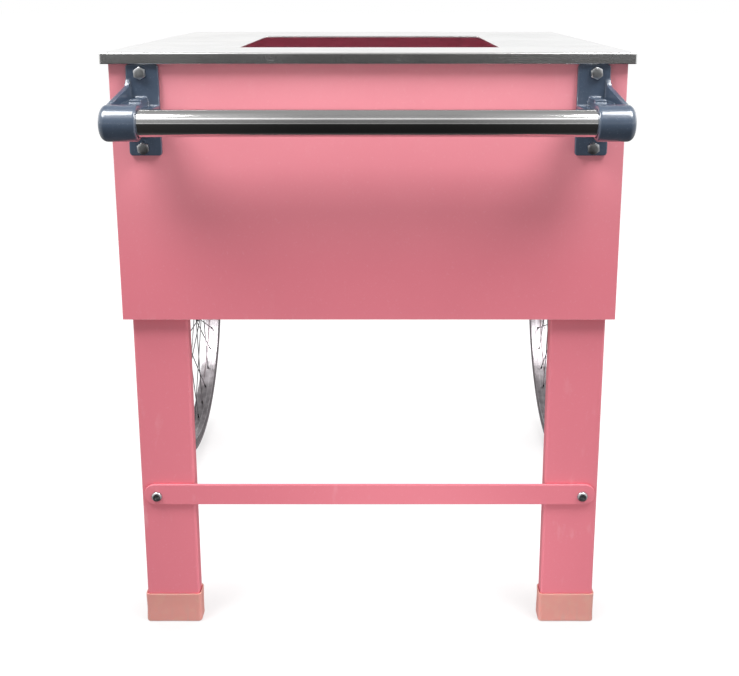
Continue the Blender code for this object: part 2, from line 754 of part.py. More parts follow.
def make_axle_hardware(label, side):
    """The spacer between bracket and hub, and the nut that keeps the wheel on."""
    inner = AXLE_PLATE_X + AXLE_PLATE_THICK + GAP
    outer = HUB_INNER_X - RUN_GAP
    bore = AXLE_RADIUS + HOLE_GAP
    half = (outer - inner) / 2
    profile = ((SPACER_RADIUS, half), (SPACER_RADIUS, -half), (bore, -half), (bore, half))
    centre = (side * (inner + outer) / 2, AXLE_Y, AXLE_Z)
    turned(label + "_axle_spacer", profile, centre, TURN_TO_X, AXLE_STEPS, "axle_steel")
    nut_at = (side * (HUB_OUTER_X + RUN_GAP + AXLE_NUT_HEIGHT / 2), AXLE_Y, AXLE_Z)
    hex_nut(label + "_axle_nut", nut_at, AXLE_NUT_HEIGHT, AXLE_NUT_FLATS, AXLE_RADIUS, TURN_TO_X)


# Wheels

def tyre_profile():
    """A solid tyre: a foot that fits the rim channel and a rounded crown."""
    foot = RIM_WIDTH / 2 - RIM_LIP - GAP
    seat = RIM_INNER + RIM_BED + GAP
    shoulder = RIM_INNER + RIM_DEPTH + GAP
    half = TYRE_WIDTH / 2
    spring = shoulder + TYRE_SHOULDER
    points = [(seat, foot), (shoulder, foot), (shoulder, half)]
    for step in range(CROWN_STEPS + 1):
        angle = math.pi * step / CROWN_STEPS
        points.append((spring + (WHEEL_RADIUS - spring) * math.sin(angle), half * math.cos(angle)))
    points += [(shoulder, -half), (shoulder, -foot), (seat, -foot)]
    return points


def rim_profile():
    """A U-shaped channel that opens outwards."""
    half = RIM_WIDTH / 2
    lip = half - RIM_LIP
    edge = RIM_INNER + RIM_DEPTH
    bed = RIM_INNER + RIM_BED
    return [
        (RIM_INNER, half),
        (edge, half),
        (edge, lip),
        (bed, lip),
        (bed, -lip),
        (edge, -lip),
        (edge, -half),
        (RIM_INNER, -half),
    ]


def hub_profile():
    """A barrel with two spoke flanges and a stepped bore for the bearings."""
    end = HUB_LENGTH / 2
    near = FLANGE_OFFSET - FLANGE_THICK / 2
    far = FLANGE_OFFSET + FLANGE_THICK / 2
    seat = BEARING_RADIUS + GAP
    shelf = end - BEARING_WIDTH - GAP
    return [
        (HUB_BARREL, end),
        (HUB_BARREL, far),
        (FLANGE_RADIUS, far),
        (FLANGE_RADIUS, near),
        (HUB_BARREL, near),
        (HUB_BARREL, -near),
        (FLANGE_RADIUS, -near),
        (FLANGE_RADIUS, -far),
        (HUB_BARREL, -far),
        (HUB_BARREL, -end),
        (seat, -end),
        (seat, -shelf),
        (HUB_CORE, -shelf),
        (HUB_CORE, shelf),
        (seat, shelf),
        (seat, end),
    ]


def spoke_ends():
    """Start and end of each spoke about the wheel's centre, in the hub's own frame."""
    tip = RIM_INNER * math.cos(math.pi / WHEEL_STEPS) - GAP - SPOKE_RADIUS / 4
    for index in range(SPOKE_COUNT):
        rim_angle = 2 * math.pi * index / SPOKE_COUNT
        flange = 1 if index % 2 == 0 else -1
        trail = 1 if (index // 2) % 2 == 0 else -1
        hub_angle = rim_angle + trail * SPOKE_SWEEP
        height = flange * FLANGE_OFFSET + trail * SPOKE_STAGGER
        start = Vector((
            FLANGE_PITCH_RADIUS * math.cos(hub_angle),
            FLANGE_PITCH_RADIUS * math.sin(hub_angle),
            height,
        ))
        end = Vector((tip * math.cos(rim_angle), tip * math.sin(rim_angle), 0.0))
        yield start, end


def make_spokes(name, centre):
    """All the spokes of one wheel as one guide, to be joined to the hub."""
    bm = bmesh.new()
    for start, end in spoke_ends():
        along = end - start
        turn = along.to_track_quat("Z", "Y").to_matrix().to_4x4()
        bmesh.ops.create_cone(
            bm,
            cap_ends=True,
            segments=SPOKE_STEPS,
            radius1=SPOKE_RADIUS,
            radius2=SPOKE_RADIUS,
            depth=along.length,
            matrix=Matrix.Translation((start + end) / 2) @ turn,
        )
    spokes = finish_bmesh(name, bm, None)
    spokes.matrix_world = Matrix.Translation(centre) @ TURN_TO_X
    return spokes


def make_bearing(name, centre):
    half = BEARING_WIDTH / 2
    profile = (
        (BEARING_RADIUS, half),
        (BEARING_RADIUS, -half),
        (BEARING_BORE, -half),
        (BEARING_BORE, half),
    )
    turned(name, profile, centre, TURN_TO_X, AXLE_STEPS, "axle_steel")


def make_wheel(label, side):
    centre = Vector((side * WHEEL_X, AXLE_Y, AXLE_Z))
    turned(label + "_tyre", tyre_profile(), centre, TURN_TO_X, WHEEL_STEPS, "tyre_rubber")
    turned(label + "_rim", rim_profile(), centre, TURN_TO_X, WHEEL_STEPS, "wheel_steel")
    hub = turned(label + "_hub_and_spokes", hub_profile(), centre, TURN_TO_X, AXLE_STEPS, "wheel_steel")
    join(hub, make_spokes(label + "_spokes", centre))
    bearing_offset = Vector(((HUB_LENGTH - BEARING_WIDTH) / 2, 0.0, 0.0))
    make_bearing(label + "_outer_bearing", centre + side * bearing_offset)
    make_bearing(label + "_inner_bearing", centre - side * bearing_offset)


# The cart

def make_cart():
    make_countertop()
    panels = make_panels()
    rails = make_frame()
    crossbar = make_crossbar()
    make_handle_bar()
    make_axle()
    for label, side in SIDES:
        leg = make_leg(label, side, panels["floor"])
        make_boot(label, side)
        make_crossbar_fasteners(label, side, crossbar, leg)
        bracket = make_handle_bracket(label, side)
        packer = make_packer(label, side)
        make_bracket_fasteners(label, side, (bracket, panels["front"], packer, leg))
        make_axle_bracket(label, side, panels["floor"], rails["floor_%s_rail" % label])
        make_axle_hardware(label, side)
        make_wheel(label, side)


make_cart()
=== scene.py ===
# %% [markdown]
# # A pink push cart, surface by surface
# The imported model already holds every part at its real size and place. This lesson gives the parts
# their finished surfaces: bent sheet edges, cast fillets, spun rims, laced spokes, and the paint,
# steel, vinyl and rubber they are made of. Nothing is measured again; each place is asked of the
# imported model, so a new surface always lands on the part that it stands for.

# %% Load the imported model
import math

import bmesh
import bpy
import numpy as np
from mathutils import Matrix, Vector, noise


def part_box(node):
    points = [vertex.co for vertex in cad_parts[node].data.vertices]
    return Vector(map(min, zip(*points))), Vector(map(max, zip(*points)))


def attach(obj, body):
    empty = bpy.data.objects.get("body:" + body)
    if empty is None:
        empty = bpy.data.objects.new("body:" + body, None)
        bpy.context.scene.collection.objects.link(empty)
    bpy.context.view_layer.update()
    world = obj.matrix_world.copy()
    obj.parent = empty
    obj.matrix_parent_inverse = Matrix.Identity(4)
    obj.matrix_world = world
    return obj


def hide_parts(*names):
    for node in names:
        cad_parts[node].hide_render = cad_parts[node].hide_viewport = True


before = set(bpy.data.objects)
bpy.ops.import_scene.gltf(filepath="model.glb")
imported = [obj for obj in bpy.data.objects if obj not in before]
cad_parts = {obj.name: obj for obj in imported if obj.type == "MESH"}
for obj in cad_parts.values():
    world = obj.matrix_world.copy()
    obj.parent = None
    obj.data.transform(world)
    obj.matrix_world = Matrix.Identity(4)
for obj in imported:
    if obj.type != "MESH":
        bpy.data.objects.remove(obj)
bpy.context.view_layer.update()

SIDES = (("left", -1), ("right", 1))

# %% [markdown]
# ## The camera
# The handle end is seen from a little above, square on. A camera that looks slightly down would make
# the legs lean together, so most of the drop is done by shifting the lens instead of tilting it, as
# an architectural photographer does. Only part of the drop is shifted, because a large shift would
# push the cart off the picture when somebody walks the camera round it.

# %% Set the camera
CAMERA_PLACE = Vector((0.022, -1.842, 1.007))
CAMERA_TILT = math.radians(12.03)
CAMERA_LENS = 47.5
CAMERA_SENSOR = 36.0
CAMERA_SHIFT = (-0.019, -0.19)

camera_data = bpy.data.cameras.new("camera")
camera_data.lens = CAMERA_LENS
camera_data.sensor_width = CAMERA_SENSOR
camera_data.shift_x, camera_data.shift_y = CAMERA_SHIFT
camera = bpy.data.objects.new("camera", camera_data)
camera.location = CAMERA_PLACE
camera.rotation_euler = (math.pi / 2 - CAMERA_TILT, 0.0, 0.0)
bpy.context.scene.collection.objects.link(camera)
bpy.context.scene.camera = camera
bpy.context.scene.view_settings.view_transform = "Standard"

# %% [markdown]
# ## Arithmetic on node sockets
# A node tree is only arithmetic drawn as boxes. Boxes are slow to read in a script, so one small
# class wraps a socket and lets Python's own operators add the Math nodes: `1 - mask * 0.5` builds
# two of them. Every other kind of node comes from a single method, which sets the node's options
# first, because some options change which sockets the node has.

# %% Wrap sockets
class Wire:
    """An output socket that Python's operators can work on."""

    def __init__(self, tree, socket):
        self.tree = tree
        self.socket = socket

    def math(self, operation, *values):
        return self.tree.add("ShaderNodeMath", {"operation": operation}, dict(enumerate(values)))

    def __add__(self, other):
        return self.math("ADD", self, other)

    def __radd__(self, other):
        return self.math("ADD", other, self)

    def __sub__(self, other):
        return self.math("SUBTRACT", self, other)

    def __rsub__(self, other):
        return self.math("SUBTRACT", other, self)

    def __mul__(self, other):
        return self.math("MULTIPLY", self, other)

    def __rmul__(self, other):
        return self.math("MULTIPLY", other, self)

    def __truediv__(self, other):
        return self.math("DIVIDE", self, other)

    def __mod__(self, other):
        return self.math("MODULO", self, other)

    def __pow__(self, other):
        return self.math("POWER", self, other)

    def also(self, name):
        """Another output of the same node."""
        return Wire(self.tree, self.socket.node.outputs[name])


class Tree:
    """A node tree, and the one method that adds nodes to it."""

    def __init__(self, made):
        self.made = made

    def add(self, kind, settings=None, inputs=None, output=0):
        node = self.made.nodes.new(kind)
        for name, value in (settings or {}).items():
            if name == "stops":
                self.fill_ramp(node.color_ramp, value)
            else:
                setattr(node, name, value)
        for key, value in (inputs or {}).items():
            self.join(value, node.inputs[key])
        return Wire(self, node.outputs[output])

    def join(self, value, socket):
        if isinstance(value, Wire):
            self.made.links.new(value.socket, socket)
        else:
            socket.default_value = value

    def fill_ramp(self, ramp, stops):
        while len(ramp.elements) < len(stops):
            ramp.elements.new(1.0)
        for element, (position, grey) in zip(ramp.elements, stops):
            element.position = position
            element.color = (grey, grey, grey, 1.0)

    def vector(self, operation, *values, output=0):
        return self.add("ShaderNodeVectorMath", {"operation": operation}, dict(enumerate(values)), output)

    def xyz(self, x, y, z):
        return self.add("ShaderNodeCombineXYZ", None, {0: x, 1: y, 2: z})

    def blend(self, factor, first, second):
        """Two colours mixed by a factor."""
        inputs = {0: factor, 6: first, 7: second}
        return self.add("ShaderNodeMix", {"data_type": "RGBA"}, inputs, 2)

    def between(self, value, low, high, start=0.0, end=1.0):
        """A value's way from low to high, as start to end, and no further."""
        inputs = {0: value, 1: low, 2: high, 3: start, 4: end}
        return self.add("ShaderNodeMapRange", {"clamp": True}, inputs)


print("sockets wrapped")

# %% [markdown]
# ## Finishes
# Every finish starts as one Principled shader. Numbers that are the same all over are set on its
# sockets; what varies is read from Object coordinates, which are metres in the cart's own frame, so
# a grain of half a millimetre is half a millimetre on every part. An edge mask compares the surface's
# normal with a rounded one: they differ only near an edge, which is where paint thins and wears, and
# on the pink enamel also where a painted highlight is laid.

# %% Start a finish
class Finish(Tree):
    """A material with one Principled shader."""

    def __init__(self, name, colour, roughness, metallic=0.0, constants=None):
        self.material = bpy.data.materials.new(name)
        self.material.use_nodes = True
        super().__init__(self.material.node_tree)
        self.shader = self.made.nodes["Principled BSDF"]
        self.colour = (*colour, 1.0)
        self.material.diffuse_color = self.colour
        self.feed("Base Color", self.colour)
        self.feed("Roughness", roughness)
        self.feed("Metallic", metallic)
        for socket, value in (constants or {}).items():
            self.feed(socket, value)
        self.place = self.add("ShaderNodeTexCoord", None, None, "Object")

    def feed(self, socket, value):
        self.join(value, self.shader.inputs[socket])

    def grain(self, scale, detail=2.0, stretch=(1.0, 1.0, 1.0), place=None):
        """Noise with scale features to the metre, stretched along an axis by a small number."""
        mapped = self.add("ShaderNodeMapping", None, {"Vector": place or self.place, "Scale": stretch})
        return self.add("ShaderNodeTexNoise", None, {"Vector": mapped, "Scale": scale, "Detail": detail})

    def edges(self, radius):
        """0 on open surfaces, 1 within a radius of an edge."""
        rounded = self.add("ShaderNodeBevel", {"samples": 4}, {"Radius": radius})
        plain = self.add("ShaderNodeNewGeometry", None, None, "Normal")
        alike = self.vector("DOT_PRODUCT", rounded, plain, output="Value")
        return self.between(1 - alike, 0.01, 0.16)

    def bumps(self, *layers):
        """Layers of (height, strength, distance in metres), one on top of the other."""
        below = None
        for height, strength, distance in layers:
            inputs = {"Height": height, "Strength": strength, "Distance": distance}
            if below is not None:
                inputs["Normal"] = below
            below = self.add("ShaderNodeBump", None, inputs)
        self.feed("Normal", below)

    def axes(self):
        """The three Object coordinates as numbers."""
        x = self.add("ShaderNodeSeparateXYZ", None, {0: self.place})
        return x, x.also("Y"), x.also("Z")


def shade(colour, factor):
    """A colour made lighter or darker, as a socket takes it."""
    return (*[min(1.0, value * factor) for value in colour], 1.0)


print("finish class ready")

# %% [markdown]
# ## Pink enamel
# The sheets, legs and crossbar are sprayed with one semi-gloss enamel. It could be a flat colour,
# but sprayed sheet is never flat: it has the fine dimples of orange peel, the sheet behind it is a
# little wavy, the colour is thinner and paler on the folds, with a painted highlight on folds that
# face up, and the low parts carry faint scuffs. The upper sheets are painted paler towards the
# worktop as painted light. Inside the cabinet only a dull primer shows.

# %% Pink enamel
PINK = (0.800, 0.216, 0.270)
PALE_PINK = (0.960, 0.640, 0.680, 1.0)
PRIMER = (0.740, 0.370, 0.450, 1.0)
INSIDE_DEPTH = 0.0006
PAINTED_TOP_LIGHT = 0.20
PAINTED_TOP_LIGHT_HEIGHTS = (0.60, 0.84)
CABINET = (
    Vector((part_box("left_side_panel")[0].x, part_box("front_panel")[0].y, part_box("floor_panel")[0].z)),
    Vector((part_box("right_side_panel")[1].x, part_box("rear_panel")[1].y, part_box("countertop")[1].z)),
)


def cabinet_inside(paint):
    """1 within the cabinet's sheets, 0 outside them."""
    inside = 1.0
    for axis, place in enumerate(paint.axes()):
        low = CABINET[0][axis] + INSIDE_DEPTH
        high = CABINET[1][axis] - INSIDE_DEPTH
        inside = place.math("GREATER_THAN", place, low) * inside
        inside = place.math("LESS_THAN", place, high) * inside
    return inside


def pink_enamel():
    paint = Finish("pink_paint", PINK, 0.36, constants={"Specular IOR Level": 0.5, "Coat Roughness": 0.2})
    cloud = paint.grain(5.0, 3.0)
    speck = paint.grain(260.0, 2.0)
    height = paint.axes()[2]
    inside = cabinet_inside(paint)
    scuff = paint.grain(46.0, 6.0, (1.0, 1.0, 0.35))
    scuff = paint.between(scuff, 0.62, 0.74) * paint.between(height, 0.05, 0.60, 0.55, 0.08)
    # Painted highlight with thin paint: edges are paler, most of all the edges that face up towards the lamps.
    facing_up_for_highlight = paint.add("ShaderNodeSeparateXYZ", None, {0: paint.add("ShaderNodeNewGeometry", None, None, 1)}, "Z")
    edge = paint.edges(0.0014) * paint.between(speck, 0.35, 0.60, 0.55, 1.0)
    edge = edge * paint.between(facing_up_for_highlight, 0.05, 0.60, 0.55, 1.0)
    tone = paint.blend(cloud, shade(PINK, 0.955), shade(PINK, 1.045))
    # Painted light: the paint is blended towards pale pink as it nears the worktop, where the lamps light it most.
    painted_top_light = paint.between(height, *PAINTED_TOP_LIGHT_HEIGHTS) * paint.between(cloud, 0.20, 0.80, 0.7, 1.0) * PAINTED_TOP_LIGHT
    tone = paint.blend(painted_top_light, tone, PALE_PINK)
    tone = paint.blend(paint.between(speck, 0.62, 0.80) * 0.10, tone, PALE_PINK)
    tone = paint.blend(edge, tone, PALE_PINK)
    tone = paint.blend(scuff * 0.35, tone, PALE_PINK)
    tone = paint.blend(inside, tone, PRIMER)
    paint.feed("Base Color", tone)
    paint.feed("Roughness", 0.31 + cloud * 0.09 + scuff * 0.18)
    wave = paint.grain(4.2, 1.0)
    peel = paint.grain(750.0, 2.0)
    paint.bumps((wave, 0.35, 0.0022), (peel, 0.20, 0.00012), (scuff, 0.10, 0.00010))
    return paint.material


# %% [markdown]
# ## Stainless sheet and the polished tube
# Both are bare steel, and they differ only in how they were rubbed. The worktop is brushed one way,
# left to right, so its noise is stretched a hundredfold along X and reads as fine parallel lines.
# The push tube was buffed round and round until it mirrors, so its faint lines run round it.

# %% Bare steel
STAINLESS = (0.800, 0.797, 0.785)
TUBE_STEEL = (0.870, 0.865, 0.860)


def brushed_stainless():
    steel = Finish("stainless_top", STAINLESS, 0.34, 1.0)
    lines = steel.grain(1.0, 3.0, (3.0, 560.0, 560.0))
    band = steel.grain(1.0, 2.0, (2.0, 60.0, 60.0))
    smear = steel.grain(9.0, 4.0)
    tint = steel.grain(2.6, 2.0)
    tone = steel.blend(tint, (0.835, 0.812, 0.790, 1.0), (0.780, 0.800, 0.812, 1.0))
    tone = steel.blend(steel.between(lines, 0.35, 0.65) * 0.16, tone, shade(STAINLESS, 0.62))
    tone = steel.blend(steel.between(band, 0.40, 0.65) * 0.10, tone, shade(STAINLESS, 0.80))
    steel.feed("Base Color", tone)
    steel.feed("Roughness", 0.20 + lines * 0.08 + steel.between(smear, 0.45, 0.75) * 0.04)
    steel.bumps((lines, 0.025, 0.00010),)
    return steel.material


def buffed_tube():
    steel = Finish("polished_steel", TUBE_STEEL, 0.08, 1.0)
    lines = steel.grain(1.0, 3.0, (900.0, 9.0, 9.0))
    smear = steel.grain(24.0, 4.0, (0.5, 1.0, 1.0))
    steel.feed("Base Color", steel.blend(smear, shade(TUBE_STEEL, 0.93), shade(TUBE_STEEL, 1.04)))
    steel.feed("Roughness", 0.060 + lines * 0.035 + steel.between(smear, 0.45, 0.75) * 0.015)
    steel.bumps((lines, 0.015, 0.00004),)
    return steel.material


# %% [markdown]
# ## Enamel on the castings
# The handle brackets are sand castings under a blue-grey gloss enamel. The sand leaves a soft, lumpy
# skin that the enamel rounds off but does not hide, so the bump is broad and shallow, and a clear
# coat on top keeps the highlights sharp. On the rims and corners the coat has rubbed to a paler grey.

# %% Casting enamel
SLATE = (0.056, 0.081, 0.124)
RUBBED_SLATE = (0.270, 0.330, 0.400, 1.0)


def casting_enamel():
    enamel = Finish("grey_enamel", SLATE, 0.30, constants={"Coat Weight": 1.0, "Coat Roughness": 0.12})
    sand = enamel.grain(330.0, 4.0)
    lump = enamel.grain(70.0, 2.0)
    pit = enamel.grain(520.0, 1.0)
    edge = enamel.edges(0.0022) * enamel.between(sand, 0.30, 0.65, 0.20, 0.80)
    tone = enamel.blend(lump, shade(SLATE, 0.88), shade(SLATE, 1.14))
    tone = enamel.blend(enamel.between(pit, 0.66, 0.80) * 0.35, tone, RUBBED_SLATE)
    tone = enamel.blend(edge * 0.55, tone, RUBBED_SLATE)
    enamel.feed("Base Color", tone)
    enamel.feed("Roughness", 0.28 + sand * 0.14)
    enamel.bumps((lump, 0.30, 0.00050), (sand, 0.22, 0.00018))
    return enamel.material


# %% [markdown]
# ## Plated fasteners and turned steel
# Bolts and nuts are zinc plated: a bright grey with darker clouds where the plating has dulled, and
# their recesses are darkened near black as painted shade.
# The axle and spacers are plain turned steel, whose cutting lines run round the X axis. Noise that
# changes quickly along X and slowly round the axis gives that without any picture.

# %% Zinc and turned steel
ZINC = (0.560, 0.570, 0.580)
RECESS_SHADE_REACH = 0.0035
BARE_STEEL = (0.430, 0.430, 0.440)


def zinc_plate():
    zinc = Finish("zinc_plate", ZINC, 0.32, 1.0)
    cloud = zinc.grain(170.0, 4.0)
    rub = zinc.edges(0.0007)
    tone = zinc.blend(cloud, shade(ZINC, 0.66), shade(ZINC, 1.10))
    tone = zinc.blend(rub * 0.6, tone, (0.70, 0.71, 0.72, 1.0))
    # Painted shade: ambient occlusion darkens hollows such as a head's socket to near black.
    painted_recess_shade = 1 - zinc.add("ShaderNodeAmbientOcclusion", {"samples": 8}, {"Distance": RECESS_SHADE_REACH}, "AO")
    tone = zinc.blend(zinc.between(painted_recess_shade, 0.25, 0.75), tone, (0.045, 0.043, 0.040, 1.0))
    zinc.feed("Base Color", tone)
    zinc.feed("Roughness", 0.22 + cloud * 0.22)
    zinc.bumps((zinc.grain(900.0, 2.0), 0.15, 0.00008),)
    return zinc.material


def turned_steel():
    steel = Finish("axle_steel", BARE_STEEL, 0.36, 1.0)
    lines = steel.grain(1.0, 2.0, (1800.0, 40.0, 40.0))
    stain = steel.grain(60.0, 4.0)
    steel.feed("Base Color", steel.blend(stain, shade(BARE_STEEL, 0.72), shade(BARE_STEEL, 1.20)))
    steel.feed("Roughness", 0.26 + lines * 0.10 + stain * 0.12)
    steel.bumps((lines, 0.20, 0.00006),)
    return steel.material


# %% [markdown]
# ## Wheel steel, spoke wire and nipples
# A rim is rolled and then spun, so its polishing lines run round the wheel. Both wheels turn on one
# axle, so one pair of numbers, the distance from that axle and the angle round it, follows both rims.
# The spokes are darker drawn wire, and their nipples are blackened brass.

# %% Wheel finishes
RIM_STEEL = (0.470, 0.440, 0.460)
WIRE_STEEL = (0.230, 0.225, 0.235)
BLACKENED = (0.022, 0.021, 0.024)
AXLE_LOW, AXLE_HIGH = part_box("axle")
AXLE = (AXLE_LOW + AXLE_HIGH) / 2


def wheel_steel():
    steel = Finish("wheel_steel", RIM_STEEL, 0.32, 1.0)
    x, y, z = steel.axes()
    off_y = y - AXLE.y
    off_z = z - AXLE.z
    radius = (off_y * off_y + off_z * off_z) ** 0.5
    angle = off_y.math("ARCTAN2", off_z, off_y)
    round_wheel = steel.xyz(x, radius, angle * 0.004)
    lines = steel.grain(1400.0, 2.0, place=round_wheel)
    haze = steel.grain(55.0, 4.0)
    tone = steel.blend(steel.between(haze, 0.35, 0.65), shade(RIM_STEEL, 0.72), shade(RIM_STEEL, 1.20))
    tone = steel.blend(steel.between(lines, 0.45, 0.75) * 0.22, tone, shade(RIM_STEEL, 0.60))
    steel.feed("Base Color", tone)
    steel.feed("Roughness", 0.26 + lines * 0.10 + haze * 0.08)
    steel.bumps((lines, 0.15, 0.00006),)
    return steel.material


def drawn_metal(name, colour, roughness):
    wire = Finish(name, colour, roughness, 1.0)
    cloud = wire.grain(90.0, 3.0)
    wire.feed("Base Color", wire.blend(cloud, shade(colour, 0.75), shade(colour, 1.30)))
    wire.feed("Roughness", roughness - 0.06 + cloud * 0.12)
    wire.bumps((wire.grain(700.0, 2.0), 0.10, 0.00005),)
    return wire.material


# %% [markdown]
# ## Vinyl, rubber and plastic
# The boots are soft tan-pink vinyl that lets some light through, so a little of it scatters under
# the surface, and it yellows along its edges and scuffs near the floor. The tyres are solid grey
# rubber with a dusty bloom; the packers between panel and leg are plain matt black plastic.

# %% Soft finishes
VINYL = (0.760, 0.330, 0.290)
RUBBER = (0.235, 0.218, 0.232)
PLASTIC = (0.022, 0.022, 0.024)


def boot_vinyl():
    constants = {"Subsurface Weight": 0.22, "Subsurface Radius": (0.006, 0.003, 0.002), "Coat Roughness": 0.3}
    vinyl = Finish("vinyl", VINYL, 0.42, constants=constants)
    height = vinyl.axes()[2]
    cloud = vinyl.grain(55.0, 4.0)
    streak = vinyl.grain(120.0, 4.0, (1.0, 1.0, 0.2))
    yellow = vinyl.edges(0.0030) * 0.65 + vinyl.between(cloud, 0.50, 0.75) * 0.30
    scuff = vinyl.between(streak, 0.55, 0.72) * vinyl.between(height, 0.0, 0.030, 0.7, 0.15)
    tone = vinyl.blend(yellow, vinyl.colour, (0.72, 0.47, 0.36, 1.0))
    tone = vinyl.blend(scuff * 0.45, tone, (0.52, 0.42, 0.36, 1.0))
    vinyl.feed("Base Color", tone)
    vinyl.feed("Roughness", 0.34 + cloud * 0.12 + scuff * 0.2)
    vinyl.bumps((vinyl.grain(26.0, 2.0), 0.35, 0.0010), (cloud, 0.15, 0.0003))
    return vinyl.material


def tyre_rubber():
    rubber = Finish("tyre_rubber", RUBBER, 0.70)
    bloom = rubber.grain(42.0, 5.0)
    grit = rubber.grain(620.0, 3.0)
    tone = rubber.blend(rubber.between(bloom, 0.35, 0.70), shade(RUBBER, 0.94), shade(RUBBER, 1.16))
    tone = rubber.blend(rubber.between(grit, 0.60, 0.78) * 0.35, tone, (0.42, 0.39, 0.38, 1.0))
    rubber.feed("Base Color", tone)
    rubber.feed("Roughness", 0.60 + bloom * 0.22)
    rubber.bumps((bloom, 0.15, 0.0004), (grit, 0.35, 0.00015))
    return rubber.material


def packer_plastic():
    plastic = Finish("packer_plastic", PLASTIC, 0.60)
    skin = plastic.grain(480.0, 3.0)
    plastic.feed("Base Color", plastic.blend(skin, shade(PLASTIC, 0.8), shade(PLASTIC, 2.2)))
    plastic.feed("Roughness", 0.48 + skin * 0.22)
    plastic.bumps((skin, 0.30, 0.0001),)
    return plastic.material


# %% Make every finish once
FINISHES = {
    "pink_paint": pink_enamel(),
    "stainless_top": brushed_stainless(),
    "polished_steel": buffed_tube(),
    "grey_enamel": casting_enamel(),
    "zinc_plate": zinc_plate(),
    "axle_steel": turned_steel(),
    "wheel_steel": wheel_steel(),
    "spoke_wire": drawn_metal("spoke_wire", WIRE_STEEL, 0.34),
    "blackened_brass": drawn_metal("blackened_brass", BLACKENED, 0.42),
    "vinyl": boot_vinyl(),
    "tyre_rubber": tyre_rubber(),
    "packer_plastic": packer_plastic(),
}
print("finishes:", ", ".join(FINISHES))

# %% [markdown]
# ## From outlines to solids
# Almost everything on the cart is an outline that travels: a tube is a rounded rectangle carried
# upwards, a wheel rim is a profile carried round an axle, a folded edge is a rectangle that shrinks
# as it climbs. So one helper joins a list of rings, each with the same number of points, into a
# skin. The rings are worked out by formula, which keeps every bend a true arc.

# %% Helpers for rings
def loft(bm, rings, closed=False, caps=True):
    """Joins rings of points; closed joins the last ring to the first."""
    made = [[bm.verts.new(point) for point in ring] for ring in rings]
    pairs = list(zip(made, made[1:]))
    if closed:
        pairs.append((made[-1], made[0]))
    elif caps:
        bm.faces.new(list(reversed(made[0])))
        bm.faces.new(made[-1])
    for low, high in pairs:
        for i in range(len(low)):
            j = (i + 1) % len(low)
            bm.faces.new((low[i], low[j], high[j], high[i]))


def rectangle(half_u, half_v, radius, steps=5, along=1):
    """A rectangle with round corners about the origin; along splits its straight sides."""
    points = []
    for quarter in range(4):
        angle = quarter * math.pi / 2
        corner_u = (half_u - radius) * (1 if quarter in (0, 3) else -1)
        corner_v = (half_v - radius) * (1 if quarter in (0, 1) else -1)
        for step in range(steps + 1):
            a = angle + math.pi / 2 * step / steps
            points.append((corner_u + radius * math.cos(a), corner_v + radius * math.sin(a)))
    if along == 1:
        return points
    split = []
    for index, start in enumerate(points):
        end = points[(index + 1) % len(points)]
        parts = along if index % (steps + 1) == steps else 1
        for part in range(parts):
            t = part / parts
            split.append((start[0] + (end[0] - start[0]) * t, start[1] + (end[1] - start[1]) * t))
    return split


def along_x(centre):
    return lambda u, v, w: (centre[0] + w, centre[1] + u, centre[2] + v)


def along_y(centre):
    return lambda u, v, w: (centre[0] + u, centre[1] + w, centre[2] + v)


def along_z(centre):
    return lambda u, v, w: (centre[0] + u, centre[1] + v, centre[2] + w)


def quarter_turn(radius, steps=4):
    """(inset, drop) pairs from the flat face to the side of a rounded edge."""
    for step in range(steps + 1):
        angle = math.pi / 2 * step / steps
        yield radius * (1 - math.sin(angle)), radius * (1 - math.cos(angle))


def slab(bm, half_u, half_v, corner, low, high, edge, place, steps=5):
    """A plate with round corners and softened edges, between two levels along its own axis."""
    rings = []
    ends = [(low + drop, inset) for inset, drop in quarter_turn(edge)]
    ends += [(high - drop, inset) for inset, drop in reversed(list(quarter_turn(edge)))]
    for level, inset in ends:
        ring = rectangle(half_u - inset, half_v - inset, max(corner - inset, edge / 8), steps)
        rings.append([place(u, v, level) for u, v in ring])
    loft(bm, rings)


def turn(bm, profile, place, steps, closed=True):
    """A profile of (radius, height) pairs carried round an axis."""
    rings = []
    for radius, height in profile:
        ring = []
        for step in range(steps):
            angle = 2 * math.pi * step / steps
            ring.append(place(radius * math.cos(angle), radius * math.sin(angle), height))
        rings.append(ring)
    loft(bm, rings, closed)


def chamfered(points, cut):
    """A closed profile whose corners are cut by a small distance."""
    result = []
    for index, point in enumerate(points):
        here = Vector(point)
        for other in (points[index - 1], points[(index + 1) % len(points)]):
            way = Vector(other) - here
            result.append(tuple(here + way.normalized() * min(cut, way.length * 0.45)))
    return result


print("ring helpers ready")

# %% [markdown]
# ## Turning a skin into a piece
# A finished piece sits at the origin with its place in its mesh, like the imported nodes. Merging
# doubles first and then recalculating normals makes every face point outwards, and the sharp-angle
# rule keeps bends smooth and folds crisp. A narrow bend beside a wide sheet would tilt the shading of
# the whole sheet, so the normals are weighted by the faces' areas and the sheet stays flat to the
# eye. The piece then rides on a body, hides the imported nodes it stands for and takes its finish.

# %% Helpers for pieces
SMOOTH_ANGLE = math.radians(38.0)
WELD = 0.000004
MADE = []


def place_piece(thing, finish, body, replaced=()):
    thing.data.materials.clear()
    thing.data.materials.append(FINISHES[finish])
    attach(thing, body)
    if replaced:
        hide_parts(*replaced)
    MADE.append(thing)
    thing.data.calc_loop_triangles()
    print("  %s: %d triangles" % (thing.name, len(thing.data.loop_triangles)))
    return thing


def applied(thing):
    """The object's mesh with its modifiers worked in."""
    evaluated = thing.evaluated_get(bpy.context.evaluated_depsgraph_get())
    result = bpy.data.meshes.new_from_object(evaluated)
    thing.modifiers.clear()
    return result


